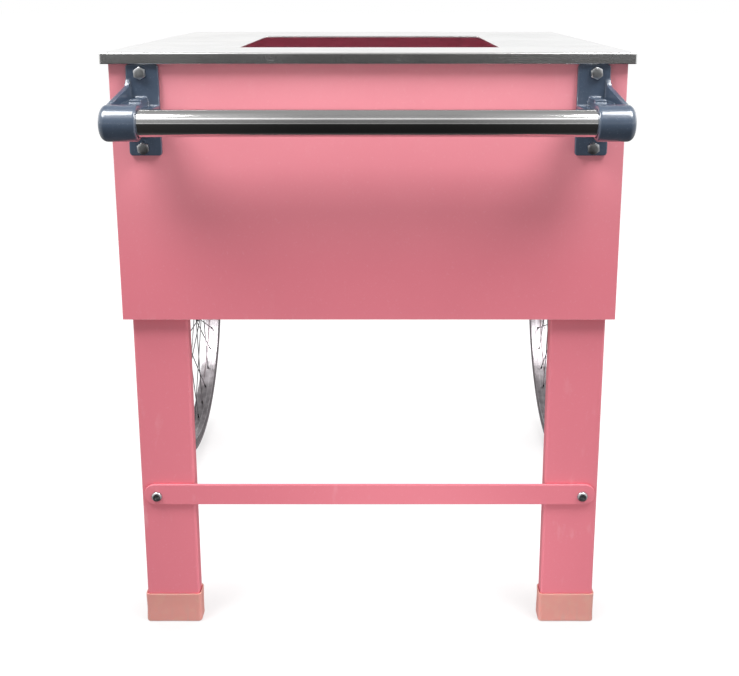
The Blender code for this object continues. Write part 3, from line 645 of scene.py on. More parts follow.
def piece(name, bm, finish, body="cart", replaced=(), smooth=SMOOTH_ANGLE):
    bmesh.ops.remove_doubles(bm, verts=bm.verts, dist=WELD)
    bmesh.ops.recalc_face_normals(bm, faces=bm.faces)
    mesh = bpy.data.meshes.new(name)
    bm.to_mesh(mesh)
    bm.free()
    mesh.shade_smooth()
    mesh.set_sharp_from_angle(angle=smooth)
    thing = bpy.data.objects.new(name, mesh)
    bpy.context.scene.collection.objects.link(thing)
    even = thing.modifiers.new("even", "WEIGHTED_NORMAL")
    even.keep_sharp = True
    thing.data = applied(thing)
    thing.data.name = name
    return place_piece(thing, finish, body, replaced)


def softened(name, node, width, finish, body="cart", steps=2):
    """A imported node's shape with its sharp edges rounded by a small width."""
    bm = bmesh.new()
    bm.from_mesh(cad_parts[node].data)
    bmesh.ops.remove_doubles(bm, verts=bm.verts, dist=WELD)
    bmesh.ops.dissolve_limit(bm, angle_limit=math.radians(0.5), verts=bm.verts, edges=bm.edges)
    sharp = []
    for edge in bm.edges:
        if len(edge.link_faces) == 2 and edge.calc_face_angle() > SMOOTH_ANGLE:
            sharp.append(edge)
    bmesh.ops.bevel(bm, geom=sharp, offset=width, segments=steps, affect="EDGES", clamp_overlap=True)
    return piece(name, bm, finish, body, (node,))


print("piece helpers ready")

# %% [markdown]
# ## The worktop
# A worktop like this is one stainless sheet: its rim is folded down and hemmed under, and the edge
# of the cut-out is folded down too, so nobody meets a raw edge. A box with a bevel would look
# machined from a block. Here the whole sheet is a single closed skin of rings that starts under the
# hem, climbs the rim, crosses the top, dives into the cut-out and comes back along the underside.

# %% Fold the worktop
SHEET = 0.0012
RIM_BEND = 0.0021
CUTOUT_BEND = 0.0018
HEM = 0.0065
CORNER = 0.0026
FLANGE_DEPTH = 0.0032

top_low, top_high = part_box("countertop")
top_centre = (top_low + top_high) / 2
inner_points = []
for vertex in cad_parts["countertop"].data.vertices:
    if abs(vertex.co.x) < top_high.x * 0.8 and abs(vertex.co.y - top_centre.y) < (top_high.y - top_centre.y) * 0.9:
        inner_points.append(vertex.co)
cut_low = Vector([min(point[i] for point in inner_points) for i in range(3)])
cut_high = Vector([max(point[i] for point in inner_points) for i in range(3)])


def rim_ring(inset, z):
    half = (top_high - top_low) / 2
    ring = rectangle(half.x - inset, half.y - inset, max(CORNER - inset, 0.0006))
    return [(top_centre.x + u, top_centre.y + v, z) for u, v in ring]


def cutout_ring(outset, z):
    centre = (cut_low + cut_high) / 2
    half = (cut_high - cut_low) / 2
    ring = rectangle(half.x + outset, half.y + outset, 0.0030 + outset)
    return [(centre.x + u, centre.y + v, z) for u, v in ring]


def worktop_rings():
    low, high = top_low.z, top_high.z
    rings = [rim_ring(HEM, low)]
    rings += [rim_ring(inset, low + drop) for inset, drop in quarter_turn(SHEET)]
    rings += [rim_ring(inset, high - drop) for inset, drop in reversed(list(quarter_turn(RIM_BEND, 6)))]
    rings += [cutout_ring(inset, high - drop) for inset, drop in quarter_turn(CUTOUT_BEND, 6)]
    rings.append(cutout_ring(0.0, high - FLANGE_DEPTH))
    rings.append(cutout_ring(SHEET, high - FLANGE_DEPTH))
    rings.append(cutout_ring(SHEET, high - CUTOUT_BEND))
    rings.append(cutout_ring(CUTOUT_BEND, high - SHEET))
    rings.append(rim_ring(RIM_BEND, high - SHEET))
    rings.append(rim_ring(SHEET, high - RIM_BEND))
    rings.append(rim_ring(SHEET, low + 1.6 * SHEET))
    rings.append(rim_ring(1.6 * SHEET, low + SHEET))
    rings.append(rim_ring(HEM, low + SHEET))
    return rings


skin = bmesh.new()
loft(skin, worktop_rings(), closed=True)
worktop = piece("worktop_sheet", skin, "stainless_top", replaced=("countertop",))
print("cut-out", [round(value, 3) for value in (cut_high - cut_low)])

# %% [markdown]
# ## The cabinet
# Five painted sheets hang on a frame of square tube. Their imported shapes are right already, apart
# from edges as sharp as a drawing's. Real sheet, once painted, has a tiny round on every edge, and
# that round is what catches the light as a thin line, so each copy only has its edges softened.

# %% Soften the sheets and the frame
PAINT_ROUND = 0.00038
TUBE_ROUND = 0.0011
PANELS = ("front_panel", "rear_panel", "left_side_panel", "right_side_panel", "floor_panel")
RAILS = [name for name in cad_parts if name.endswith("_rail") or name.endswith("_rear_post")]

for node in PANELS:
    softened(node + "_sheet", node, PAINT_ROUND, "pink_paint")
for node in sorted(RAILS):
    softened(node + "_tube", node, PAINT_ROUND, "pink_paint")
print(len(PANELS), "sheets and", len(RAILS), "tubes")

# %% [markdown]
# ## Legs
# Each leg is a flat rectangular tube with rolled corners. Carrying a rounded rectangle up its outside
# and down its inside gives the tube its real wall, and the corner arcs have enough steps for the long
# highlight that runs down each of them.

# %% Carry the legs up
LEG_WALL = 0.002
LEG_CORNER = 0.0042

for label, side in SIDES:
    low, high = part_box(label + "_leg")
    centre = (low + high) / 2
    half = (high - low) / 2
    rings = []
    for inset, z in ((0.0, low.z), (0.0, high.z), (LEG_WALL, high.z), (LEG_WALL, low.z)):
        ring = rectangle(half.x - inset, half.y - inset, LEG_CORNER - inset, 8)
        rings.append([(centre.x + u, centre.y + v, z) for u, v in ring])
    skin = bmesh.new()
    loft(skin, rings, closed=True)
    piece(label + "_leg_tube", skin, "pink_paint", replaced=(label + "_leg",))

# %% [markdown]
# ## Boots
# A vinyl boot is dipped or moulded, so it has no straight line in it: the sole is rounded, the wall
# leans out a little where it was pulled over the leg, and the top edge is a soft bead. The rings are
# closer together than on the leg, and a slow, seeded noise moves their points by tenths of a
# millimetre so that the wall ripples as stretched vinyl does.

# %% Pull on the boots
BOOT_SOLE = 0.003
BOOT_CORNER = 0.0060
BOOT_EDGE = 0.0026
BOOT_LIP = 0.0010
BOOT_RIPPLE = 0.00055
RIPPLE_SCALE = 45.0
BOOT_LEVELS = 12


def boot_levels(low, high):
    """(inset from the outer box, height) up the outside of a boot."""
    levels = [(inset, low + drop) for inset, drop in quarter_turn(BOOT_EDGE, 5)]
    top = high - BOOT_LIP
    for step in range(1, BOOT_LEVELS):
        t = step / BOOT_LEVELS
        waist = 0.0005 * math.sin(math.pi * t)
        levels.append((waist, low + BOOT_EDGE + (top - low - BOOT_EDGE) * t))
    levels += [(inset, high - drop) for inset, drop in reversed(list(quarter_turn(BOOT_LIP)))]
    return levels


for label, side in SIDES:
    low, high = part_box(label + "_boot")
    leg_low, leg_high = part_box(label + "_leg")
    centre = (low + high) / 2
    half = (high - low) / 2
    leg_half = (leg_high - leg_low) / 2
    rings = []
    for inset, z in boot_levels(low.z, high.z):
        ring = []
        for u, v in rectangle(half.x - inset, half.y - inset, BOOT_CORNER - inset, 7, 10):
            point = Vector((centre.x + u, centre.y + v, z))
            ripple = noise.noise(point * RIPPLE_SCALE) * BOOT_RIPPLE * min(1.0, (z - low.z) / BOOT_SOLE)
            ring.append(point + Vector((u, v, 0.0)).normalized() * (ripple - BOOT_RIPPLE / 2))
        rings.append(ring)
    for z in (high.z - BOOT_LIP, low.z + BOOT_SOLE):
        inner = rectangle(leg_half.x + 0.0002, leg_half.y + 0.0002, LEG_CORNER, 7, 10)
        rings.append([(centre.x + u, centre.y + v, z) for u, v in inner])
    skin = bmesh.new()
    loft(skin, rings)
    piece(label + "_boot_skin", skin, "vinyl", replaced=(label + "_boot",), smooth=math.radians(60.0))

# %% [markdown]
# ## The crossbar
# The bar that ties the legs is a strip of flat steel with fully rounded ends, painted with the legs.
# A rounded rectangle whose corner radius is half its height is exactly that outline.

# %% Cut the crossbar
CROSSBAR_EDGE = 0.0011

low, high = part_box("leg_crossbar")
centre = (low + high) / 2
half = (high - low) / 2
skin = bmesh.new()
slab(skin, half.x, half.z, half.z - WELD, -half.y, half.y, CROSSBAR_EDGE, along_y(centre), steps=14)
piece("leg_crossbar_strip", skin, "pink_paint", replaced=("leg_crossbar",))

# %% [markdown]
# ## The push tube
# A plain polished tube, but the mirror finish shows any facet, so it is turned with many steps and
# its ends, which sit deep in the sockets, keep their wall.

# %% Turn the push tube
TUBE_WALL = 0.0015
TUBE_STEPS = 96
TUBE_RINGS = 24

bar_low, bar_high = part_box("handle_bar")
bar_centre = (bar_low + bar_high) / 2
bar_radius = (bar_high.z - bar_low.z) / 2
profile = []
for step in range(TUBE_RINGS + 1):
    profile.append((bar_radius, bar_low.x + (bar_high.x - bar_low.x) * step / TUBE_RINGS))
profile += [(bar_radius - TUBE_WALL, bar_high.x), (bar_radius - TUBE_WALL, bar_low.x)]
skin = bmesh.new()
turn(skin, profile, along_x((0.0, bar_centre.y, bar_centre.z)), TUBE_STEPS)
piece("push_tube", skin, "polished_steel", replaced=("handle_bar",))
print("tube", round(2000 * bar_radius, 1), "mm across")

# %% [markdown]
# ## The cast handle brackets
# A casting is several plain shapes that flowed together: a base plate, an arm with a ledge, a step
# where the mould was split, a web that sweeps down from the plate, and a socket for the tube. Making
# the fillets between them by hand would be a long job. Instead the plain shapes overlap, a voxel
# remesh melts them into one skin, and a few rounds of smoothing leave the soft inner corners that
# molten metal leaves. One bracket is made on the right and mirrored to the left.

# %% Shape one bracket
PLATE_EDGE = 0.0012
PLATE_CORNER = 0.0045
SOCKET_ROUND = 0.0095
SOCKET_LIP = 0.0016
BORE_GAP = 0.0004
WEB_HALF = 0.0034
WEB_STEPS = 24
WEB_KNEE = 0.16
CAST_VOXEL = 0.00085
CAST_SMOOTH = 7

right_low, right_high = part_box("right_handle_bracket")
socket_radius = bar_centre.y - right_low.y
plate_face = right_high.y - 0.006


def bracket_plate(bm):
    half_u = 0.0235
    centre_x = right_low.x + half_u
    half_v = (right_high.z - right_low.z) / 2
    centre_z = (right_high.z + right_low.z) / 2
    place = along_y((centre_x, 0.0, centre_z))
    slab(bm, half_u, half_v, PLATE_CORNER, plate_face, right_high.y, PLATE_EDGE, place)


def bracket_block(bm, x_span, y_span, z_span, edge):
    """A softened block between three spans, for the arm and the steps on it."""
    centre = [(span[0] + span[1]) / 2 for span in (x_span, y_span, z_span)]
    half = [(span[1] - span[0]) / 2 for span in (x_span, y_span, z_span)]
    slab(bm, half[0], half[2], edge, -half[1], half[1], edge, along_y(centre), 3)


def bracket_socket(bm):
    inner = right_low.x + 0.0127
    outer = right_high.x
    bore = bar_radius + BORE_GAP
    blind = bar_high.x + BORE_GAP
    profile = [(0.0004, outer)]
    for inset, drop in quarter_turn(SOCKET_ROUND, 8):
        profile.append((socket_radius - inset, outer - drop))
    profile += [(socket_radius, inner + SOCKET_LIP), (socket_radius - SOCKET_LIP, inner)]
    profile += [(bore + SOCKET_LIP / 2, inner), (bore, inner + SOCKET_LIP / 2), (bore, blind), (0.0004, blind)]
    turn(bm, profile, along_x((0.0, bar_centre.y, bar_centre.z)), 64, closed=True)


def bracket_web(bm):
    """A wall that starts upright on the plate and sweeps forward and outward to the socket."""
    start = plate_face + 0.003
    reach = start - bar_centre.y
    crest = bar_centre.z + 0.0600
    shoulder = bar_centre.z + 0.0430
    saddle = bar_centre.z + socket_radius - 0.0008
    rings = []
    for step in range(WEB_STEPS + 1):
        t = step / WEB_STEPS
        y = start - reach * t
        if t < WEB_KNEE:
            top = crest - (crest - shoulder) * math.sin(t / WEB_KNEE * math.pi / 2)
        else:
            top = shoulder - (shoulder - saddle) * (t - WEB_KNEE) / (1 - WEB_KNEE)
        x = right_low.x + 0.047 - WEB_HALF + 0.0105 * t
        low = bar_centre.z - 0.006
        rings.append([(x - WEB_HALF, y, low), (x + WEB_HALF, y, low), (x + WEB_HALF, y, top), (x - WEB_HALF, y, top)])
    loft(bm, rings)


def cast_bracket():
    bm = bmesh.new()
    bracket_plate(bm)
    ledge = bar_centre.z + 0.0158
    arm_front = bar_centre.y + bar_radius + 0.0022
    bracket_block(bm, (right_low.x + 0.0006, right_low.x + 0.044), (arm_front, plate_face + 0.002),
                  (bar_centre.z - 0.012, ledge), 0.0012)
    bracket_block(bm, (right_low.x + 0.0165, right_low.x + 0.044), (bar_centre.y + 0.004, plate_face + 0.002),
                  (bar_centre.z + 0.004, ledge + 0.0072), 0.0010)
    bracket_block(bm, (right_low.x + 0.0175, right_low.x + 0.035), (bar_centre.y + 0.036, plate_face + 0.002),
                  (bar_centre.z + 0.004, ledge + 0.0122), 0.0010)
    bracket_web(bm)
    bmesh.ops.recalc_face_normals(bm, faces=bm.faces)
    socket = bmesh.new()
    bracket_socket(socket)
    bmesh.ops.remove_doubles(socket, verts=socket.verts, dist=WELD)
    bmesh.ops.recalc_face_normals(socket, faces=socket.faces)
    both = bpy.data.meshes.new("casting_blocks")
    socket.to_mesh(both)
    bm.from_mesh(both)
    bm.to_mesh(both)
    socket.free()
    bm.free()
    thing = bpy.data.objects.new("casting_blocks", both)
    bpy.context.scene.collection.objects.link(thing)
    remesh = thing.modifiers.new("melt", "REMESH")
    remesh.mode = "VOXEL"
    remesh.voxel_size = CAST_VOXEL
    smooth = thing.modifiers.new("flow", "SMOOTH")
    smooth.factor = 0.5
    smooth.iterations = CAST_SMOOTH
    melted = applied(thing)
    bpy.data.objects.remove(thing)
    return melted


casting = cast_bracket()
for label, side in SIDES:
    skin = bmesh.new()
    skin.from_mesh(casting)
    bmesh.ops.scale(skin, vec=(side, 1.0, 1.0), verts=skin.verts)
    piece(label + "_handle_casting", skin, "grey_enamel", replaced=(label + "_handle_bracket",),
          smooth=math.radians(80.0))

# %% [markdown]
# ## Bolts and nuts
# The same head appears many times, so it is described once and repeated by Geometry Nodes. A hex
# head is a hexagon whose upper corners were turned off in a lathe: its side is a hexagon, its top a
# cone, and where they meet they leave the scalloped line that makes a bolt look like a bolt. One
# ring formula gives both, because the hexagon's radius is known at every angle.

# %% Describe the fasteners
HEAD_STEPS = 48
CHAMFER_SLOPE = math.tan(math.radians(27.0))


def hexagon_ring(flats, shrink, z, slope=0.0):
    """A hexagon, clipped to a circle of shrink times its flats, dropping outside that circle."""
    limit = flats / 2 * shrink
    ring = []
    for step in range(HEAD_STEPS):
        angle = 2 * math.pi * step / HEAD_STEPS
        turn_in = (angle + math.pi / 6) % (math.pi / 3) - math.pi / 6
        radius = flats / 2 / math.cos(turn_in)
        if slope:
            drop = max(0.0, radius - limit) * slope
        else:
            radius = min(radius, limit) if shrink < 1.2 else radius
            drop = 0.0
        ring.append((radius * math.cos(angle), radius * math.sin(angle), z - drop))
    return ring


def circle(radius, z):
    steps = [2 * math.pi * step / HEAD_STEPS for step in range(HEAD_STEPS)]
    return [(radius * math.cos(angle), radius * math.sin(angle), z) for angle in steps]


def pattern_object(name, bm):
    """A mesh for Geometry Nodes to repeat; it isn't part of the cart itself."""
    bmesh.ops.remove_doubles(bm, verts=bm.verts, dist=WELD)
    bmesh.ops.recalc_face_normals(bm, faces=bm.faces)
    mesh = bpy.data.meshes.new(name)
    bm.to_mesh(mesh)
    bm.free()
    mesh.shade_smooth()
    mesh.set_sharp_from_angle(angle=math.radians(24.0))
    return bpy.data.objects.new(name, mesh)


def hex_bolt(flats, height, shank, length):
    """Seat at the origin, head up along Z, shank down."""
    bm = bmesh.new()
    washer = 0.0005
    rings = [circle(shank, -length), circle(shank, 0.0), circle(flats / 2 * 0.97, 0.0)]
    rings += [circle(flats / 2 * 0.97, washer), hexagon_ring(flats, 2.0, washer)]
    rings += [hexagon_ring(flats, 0.93, height, CHAMFER_SLOPE), circle(flats / 2 * 0.93, height)]
    rings += [circle(flats / 2 * 0.60, height + 0.00025), circle(flats / 2 * 0.25, height + 0.00035)]
    loft(bm, rings)
    return pattern_object("hex_bolt", bm)


def hex_nut(flats, height, bore):
    """Seat at the origin, open end up along Z."""
    bm = bmesh.new()
    rings = [circle(bore, 0.0), circle(flats / 2 * 0.96, 0.0), hexagon_ring(flats, 2.0, 0.0005)]
    rings += [hexagon_ring(flats, 0.93, height, CHAMFER_SLOPE), circle(flats / 2 * 0.93, height)]
    rings += [circle(bore + 0.0008, height), circle(bore, height - 0.0008)]
    loft(bm, rings, closed=True)
    return pattern_object("hex_nut", bm)


def button_bolt(radius, height, socket, shank, length):
    """A domed head with a hexagon socket."""
    bm = bmesh.new()
    rings = [circle(shank, -length), circle(shank, 0.0), circle(radius, 0.0), circle(radius, height * 0.22)]
    for step in range(1, 7):
        angle = math.radians(62.0) * step / 6
        rings.append(circle(radius * math.cos(angle), height * (0.22 + 0.78 * math.sin(angle) / math.sin(math.radians(62.0)))))
    rings.append(circle(socket * 1.16, height))
    rings.append(hexagon_ring(socket * 1.9, 2.0, height - 0.0003))
    rings.append(hexagon_ring(socket * 1.9, 2.0, height - 0.0040))
    rings.append(circle(socket * 0.5, height - 0.0044))
    loft(bm, rings)
    return pattern_object("button_bolt", bm)


print("fasteners described")

# %% [markdown]
# ## Repeating them with Geometry Nodes
# A tree gets its named inputs first. The seats come in as loose vertices; the tree puts the pattern
# on each of them, turns it to face outwards, spins each one by its own seeded amount, because nobody
# lines up bolt heads, and ends in Realize Instances and Set Material so that a plain mesh is left.

# %% Geometry Nodes helpers
class Recipe(Tree):
    """A Geometry Nodes tree with named inputs."""

    def __init__(self, name, inputs):
        group = bpy.data.node_groups.new(name, "GeometryNodeTree")
        group.interface.new_socket(name="Geometry", in_out="INPUT", socket_type="NodeSocketGeometry")
        group.interface.new_socket(name="Geometry", in_out="OUTPUT", socket_type="NodeSocketGeometry")
        for label, kind in inputs.items():
            group.interface.new_socket(name=label, in_out="INPUT", socket_type="NodeSocket" + kind)
        super().__init__(group)
        self.entry = group.nodes.new("NodeGroupInput")

    def given(self, label):
        return Wire(self, self.entry.outputs[label])

    def close(self, geometry):
        plain = self.add("GeometryNodeRealizeInstances", None, {0: geometry})
        dressed = self.add("GeometryNodeSetMaterial", None, {"Geometry": plain, "Material": self.given("Finish")})
        self.join(dressed, self.made.nodes.new("NodeGroupOutput").inputs[0])

    def run(self, name, values, points=()):
        """The tree's result as a plain mesh object."""
        mesh = bpy.data.meshes.new(name)
        mesh.from_pydata([tuple(point) for point in points], [], [])
        thing = bpy.data.objects.new(name, mesh)
        bpy.context.scene.collection.objects.link(thing)
        modifier = thing.modifiers.new("recipe", "NODES")
        modifier.node_group = self.made
        for item in self.made.interface.items_tree:
            if item.in_out == "INPUT" and item.name in values:
                modifier[item.identifier] = values[item.name]
        thing.data = applied(thing)
        thing.data.name = name
        return thing


def fastener_recipe():
    inputs = {"Pattern": "Object", "Facing": "Vector", "Spin": "Float", "Seed": "Int", "Finish": "Material"}
    recipe = Recipe("fasteners", inputs)
    pattern = recipe.add("GeometryNodeObjectInfo", None, {"Object": recipe.given("Pattern")}, "Geometry")
    facing = {"Vector": recipe.given("Facing")}
    aim = recipe.add("FunctionNodeAlignRotationToVector", {"axis": "Z"}, facing)
    spin = recipe.given("Spin")
    amount = {2: spin * -1.0, 3: spin, "Seed": recipe.given("Seed")}
    random = recipe.add("FunctionNodeRandomValue", {"data_type": "FLOAT"}, amount, 1)
    twist = recipe.xyz(0.0, 0.0, random)
    placed = {"Points": recipe.given("Geometry"), "Instance": pattern, "Rotation": aim}
    copies = recipe.add("GeometryNodeInstanceOnPoints", None, placed)
    turned = recipe.add("GeometryNodeRotateInstances", None, {"Instances": copies, "Rotation": twist})
    recipe.close(turned)
    return recipe


FASTENERS = fastener_recipe()
print("recipe inputs:", [item.name for item in FASTENERS.made.interface.items_tree])

# %% Fit the fasteners
SPIN = math.radians(9.0)


def fit(name, pattern, nodes, facing, seat, seed, finish="zinc_plate", spin=SPIN):
    points = []
    for node in nodes:
        low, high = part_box(node)
        point = (low + high) / 2
        axis = max(range(3), key=lambda i: abs(facing[i]))
        point[axis] = seat
        points.append(point)
    values = {"Pattern": pattern, "Facing": facing, "Spin": spin, "Seed": seed, "Finish": FINISHES[finish]}
    return place_piece(FASTENERS.run(name, values, points), finish, "cart", nodes)


leg_low, leg_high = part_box("right_leg")
cross_low, cross_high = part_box("leg_crossbar")
bracket_bolts = [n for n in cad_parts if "_bracket_upper_bolt" in n or "_bracket_lower_bolt" in n]
bracket_nuts = [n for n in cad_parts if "_bracket_upper_nut" in n or "_bracket_lower_nut" in n]
bolt_low, bolt_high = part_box(bracket_bolts[0])
M10_BOLT = hex_bolt(0.016, 0.0062, 0.005, bolt_high.y - plate_face - 0.0003)
M10_NUT = hex_nut(0.016, 0.0078, 0.0052)
fit("bracket_bolts", M10_BOLT, bracket_bolts, (0, -1, 0), plate_face - 0.0002, 3)
fit("bracket_nuts", M10_NUT, bracket_nuts, (0, 1, 0), leg_high.y + 0.0003, 5)

cross_bolts = [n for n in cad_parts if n.endswith("_crossbar_bolt")]
cross_nuts = [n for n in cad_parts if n.endswith("_crossbar_nut")]
bolt_low, bolt_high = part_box(cross_bolts[0])
BUTTON = button_bolt(0.0083, 0.0048, 0.0048, 0.005, bolt_high.y - cross_low.y - 0.0003)
fit("crossbar_bolts", BUTTON, cross_bolts, (0, -1, 0), cross_low.y - 0.0001, 7)
fit("crossbar_nuts", M10_NUT, cross_nuts, (0, 1, 0), leg_high.y + 0.0003, 11)

hanger_bolts = [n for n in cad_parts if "axle_bracket_" in n and n.endswith("_bolt")]
bolt_low, bolt_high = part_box(hanger_bolts[0])
hanger_low, hanger_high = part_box("right_axle_bracket")
hanger_seat = bolt_low.z + 0.0053
M8_BOLT = hex_bolt(0.013, 0.0051, 0.004, bolt_high.z - hanger_seat)
fit("axle_bracket_bolts", M8_BOLT, hanger_bolts, (0, 0, -1), hanger_seat, 13)

# %% [markdown]
# ## Axle, brackets and spacers
# The axle is turned bar with a thread at each end for its nuts. A true helix would cost thousands of
# faces that nobody can see behind a nut, so the thread is a row of fine grooves, which from any
# distance reads the same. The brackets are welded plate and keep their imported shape, softened.

# %% Turn the axle
AXLE_RADIUS = (AXLE_HIGH.z - AXLE_LOW.z) / 2
THREAD_PITCH = 0.0015
THREAD_DEPTH = 0.0006
THREAD_LENGTH = 0.0180
AXLE_STEPS = 48


def axle_profile():
    end = AXLE_HIGH.x
    profile = [(AXLE_RADIUS - 0.0012, end)]
    grooves = int(THREAD_LENGTH / THREAD_PITCH)
    for groove in range(grooves):
        x = end - 0.0012 - groove * THREAD_PITCH
        profile.append((AXLE_RADIUS, x))
        profile.append((AXLE_RADIUS - THREAD_DEPTH, x - THREAD_PITCH / 2))
    profile.append((AXLE_RADIUS, end - 0.0012 - grooves * THREAD_PITCH))
    return profile + [(radius, -x) for radius, x in reversed(profile)]


skin = bmesh.new()
turn(skin, axle_profile(), along_x((0.0, AXLE.y, AXLE.z)), AXLE_STEPS, closed=False)
piece("axle_rod", skin, "axle_steel", replaced=("axle",))
for label, side in SIDES:
    softened(label + "_axle_hanger", label + "_axle_bracket", 0.0008, "pink_paint", steps=3)
    low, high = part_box(label + "_axle_spacer")
    outer = (high.z - low.z) / 2
    bore = AXLE_RADIUS + 0.0004
    ends = chamfered([(outer, high.x), (outer, low.x), (bore, low.x), (bore, high.x)], 0.0007)
    skin = bmesh.new()
    turn(skin, ends, along_x((0.0, AXLE.y, AXLE.z)), AXLE_STEPS)
    piece(label + "_spacer_sleeve", skin, "axle_steel", replaced=(label + "_axle_spacer",))
    low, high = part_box(label + "_axle_nut")
    seat = low.x if side > 0 else high.x
    axle_nut = hex_nut(0.024, high.x - low.x, AXLE_RADIUS + 0.0002)
    fit(label + "_wheel_nut", axle_nut, (label + "_axle_nut",), (side, 0, 0), seat, 17)

# %% [markdown]
# ## Tyres, rims, hubs and bearings
# Everything here is round about the axle, so each is one profile carried round it. The profile has
# the detail: a channel rim with rolled lips, a solid tyre whose foot sits in the channel and whose
# crown has two fine mould grooves, a hub with fillets under its flanges, and bearings with a
# recessed shield.

# %% Turn the wheels
WHEEL_STEPS = 144
RIM_BED = 0.003
RIM_LIP = 0.0025


def rim_profile(half, inner, outer):
    """A channel that opens outwards, with softened lips and a shallow well for the spoke nipples."""
    bed = inner + RIM_BED
    lip = half - RIM_LIP
    well = 0.0009
    shape = [(inner, half), (outer, half), (outer, lip), (bed, lip), (bed, -lip), (outer, -lip)]
    shape += [(outer, -half), (inner, -half), (inner, -half * 0.42), (inner + well, -half * 0.34)]
    shape += [(inner + well, half * 0.34), (inner, half * 0.42)]
    return chamfered(shape, 0.0005)


def tyre_profile(half, rim_half, seat, shoulder, crown):
    """A foot for the rim channel and a round crown with two mould grooves."""
    foot = rim_half - RIM_LIP - 0.0003
    spring = shoulder + 0.006
    points = [(seat, foot), (shoulder, foot), (shoulder, half - 0.0006), (shoulder + 0.0008, half)]
    steps = 28
    for step in range(steps + 1):
        angle = math.pi * step / steps
        radius = spring + (crown - spring) * math.sin(angle)
        if step in (5, 23):
            radius -= 0.0007
        points.append((radius, half * math.cos(angle)))
    points += [(shoulder + 0.0008, -half), (shoulder, -half + 0.0006), (shoulder, -foot), (seat, -foot)]
    return points


def hub_profile(end):
    """Half of a hub's outside, mirrored: an end boss, a flange and the barrel between the flanges."""
    barrel, flange, offset, half = 0.0225, 0.0400, 0.0210, 0.0020
    fillet = 0.0018
    outside = [(barrel - 0.0008, end), (barrel, end - 0.0008), (barrel, offset + half + fillet)]
    outside += [(barrel + fillet * 0.3, offset + half + fillet * 0.3), (barrel + fillet, offset + half)]
    outside += [(flange - 0.0007, offset + half), (flange, offset + half - 0.0007)]
    outside += [(flange, offset - half + 0.0007), (flange - 0.0007, offset - half)]
    outside += [(barrel + fillet, offset - half), (barrel + fillet * 0.3, offset - half - fillet * 0.3)]
    outside += [(barrel, offset - half - fillet), (barrel - 0.0012, offset - 0.012), (barrel - 0.0012, 0.0)]
    inside = [(0.0178, end), (0.0178, end - 0.0113), (0.0140, end - 0.0113)]
    mirrored = [(radius, -height) for radius, height in reversed(outside)]
    bore = [(radius, -height) for radius, height in inside] + list(reversed(inside))
    return outside + mirrored + bore


def bearing_profile(outer, bore, half):
    """Two races with a shield set back between them."""
    race = (outer - bore) * 0.22
    face = [(bore, half), (bore + race, half), (bore + race, half - 0.0008)]
    face += [(outer - race, half - 0.0008), (outer - race, half), (outer, half)]
    return face + [(radius, -height) for radius, height in reversed(face)]


def wheel_piece(label, name, node, profile, centre, finish, steps=WHEEL_STEPS):
    skin = bmesh.new()
    turn(skin, profile, along_x(centre), steps)
    return piece(label + name, skin, finish, label + "_wheel", (node,) if node else ())


for label, side in SIDES:
    rim_low, rim_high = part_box(label + "_rim")
    tyre_low, tyre_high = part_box(label + "_tyre")
    hub_low, hub_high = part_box(label + "_hub_and_spokes")
    centre = Vector(((tyre_low.x + tyre_high.x) / 2, AXLE.y, AXLE.z))
    rim_half = (rim_high.x - rim_low.x) / 2
    rim_outer = (rim_high.z - rim_low.z) / 2
    rim_inner = rim_outer - 0.014
    crown = (tyre_high.z - tyre_low.z) / 2
    shape = rim_profile(rim_half, rim_inner, rim_outer)
    wheel_piece(label, "_rim_channel", label + "_rim", shape, centre, "wheel_steel")
    tyre_half = (tyre_high.x - tyre_low.x) / 2
    shape = tyre_profile(tyre_half, rim_half, rim_inner + RIM_BED + 0.0003, rim_outer + 0.0003, crown)
    wheel_piece(label, "_solid_tyre", label + "_tyre", shape, centre, "tyre_rubber")
    shape = hub_profile((hub_high.x - hub_low.x) / 2)
    wheel_piece(label, "_hub_shell", label + "_hub_and_spokes", shape, centre, "wheel_steel", 72)
    for where in ("inner", "outer"):
        node = "%s_%s_bearing" % (label, where)
        low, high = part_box(node)
        shape = bearing_profile((high.z - low.z) / 2, AXLE_RADIUS + 0.0003, (high.x - low.x) / 2)
        place = ((low.x + high.x) / 2, AXLE.y, AXLE.z)
        wheel_piece(label, "_%s_race" % where, node, shape, place, "axle_steel", 48)

# %% [markdown]
# ## Lacing the spokes
# Thirty-six spokes leave the hub in turn from one flange and the other, and lean forwards and
# backwards in pairs, so that they cross. That is a rule, which is what Geometry Nodes are for: a
# point per spoke, its number turned into two angles, and a wire stretched from the flange hole to
# the rim. The same tree adds the nipple at the rim and the head on the flange, each with its own
# pattern, so the lacing is described only once.

# %% Lace the wheels
SPOKES = 36
SPOKE_WIRE = 0.00105
SPOKE_SWEEP = math.radians(60.0)
SPOKE_STAGGER = 0.002
HOLE_CIRCLE = 0.034
FLANGE_OFFSET = 0.021
FULL_TURN = 2 * math.pi


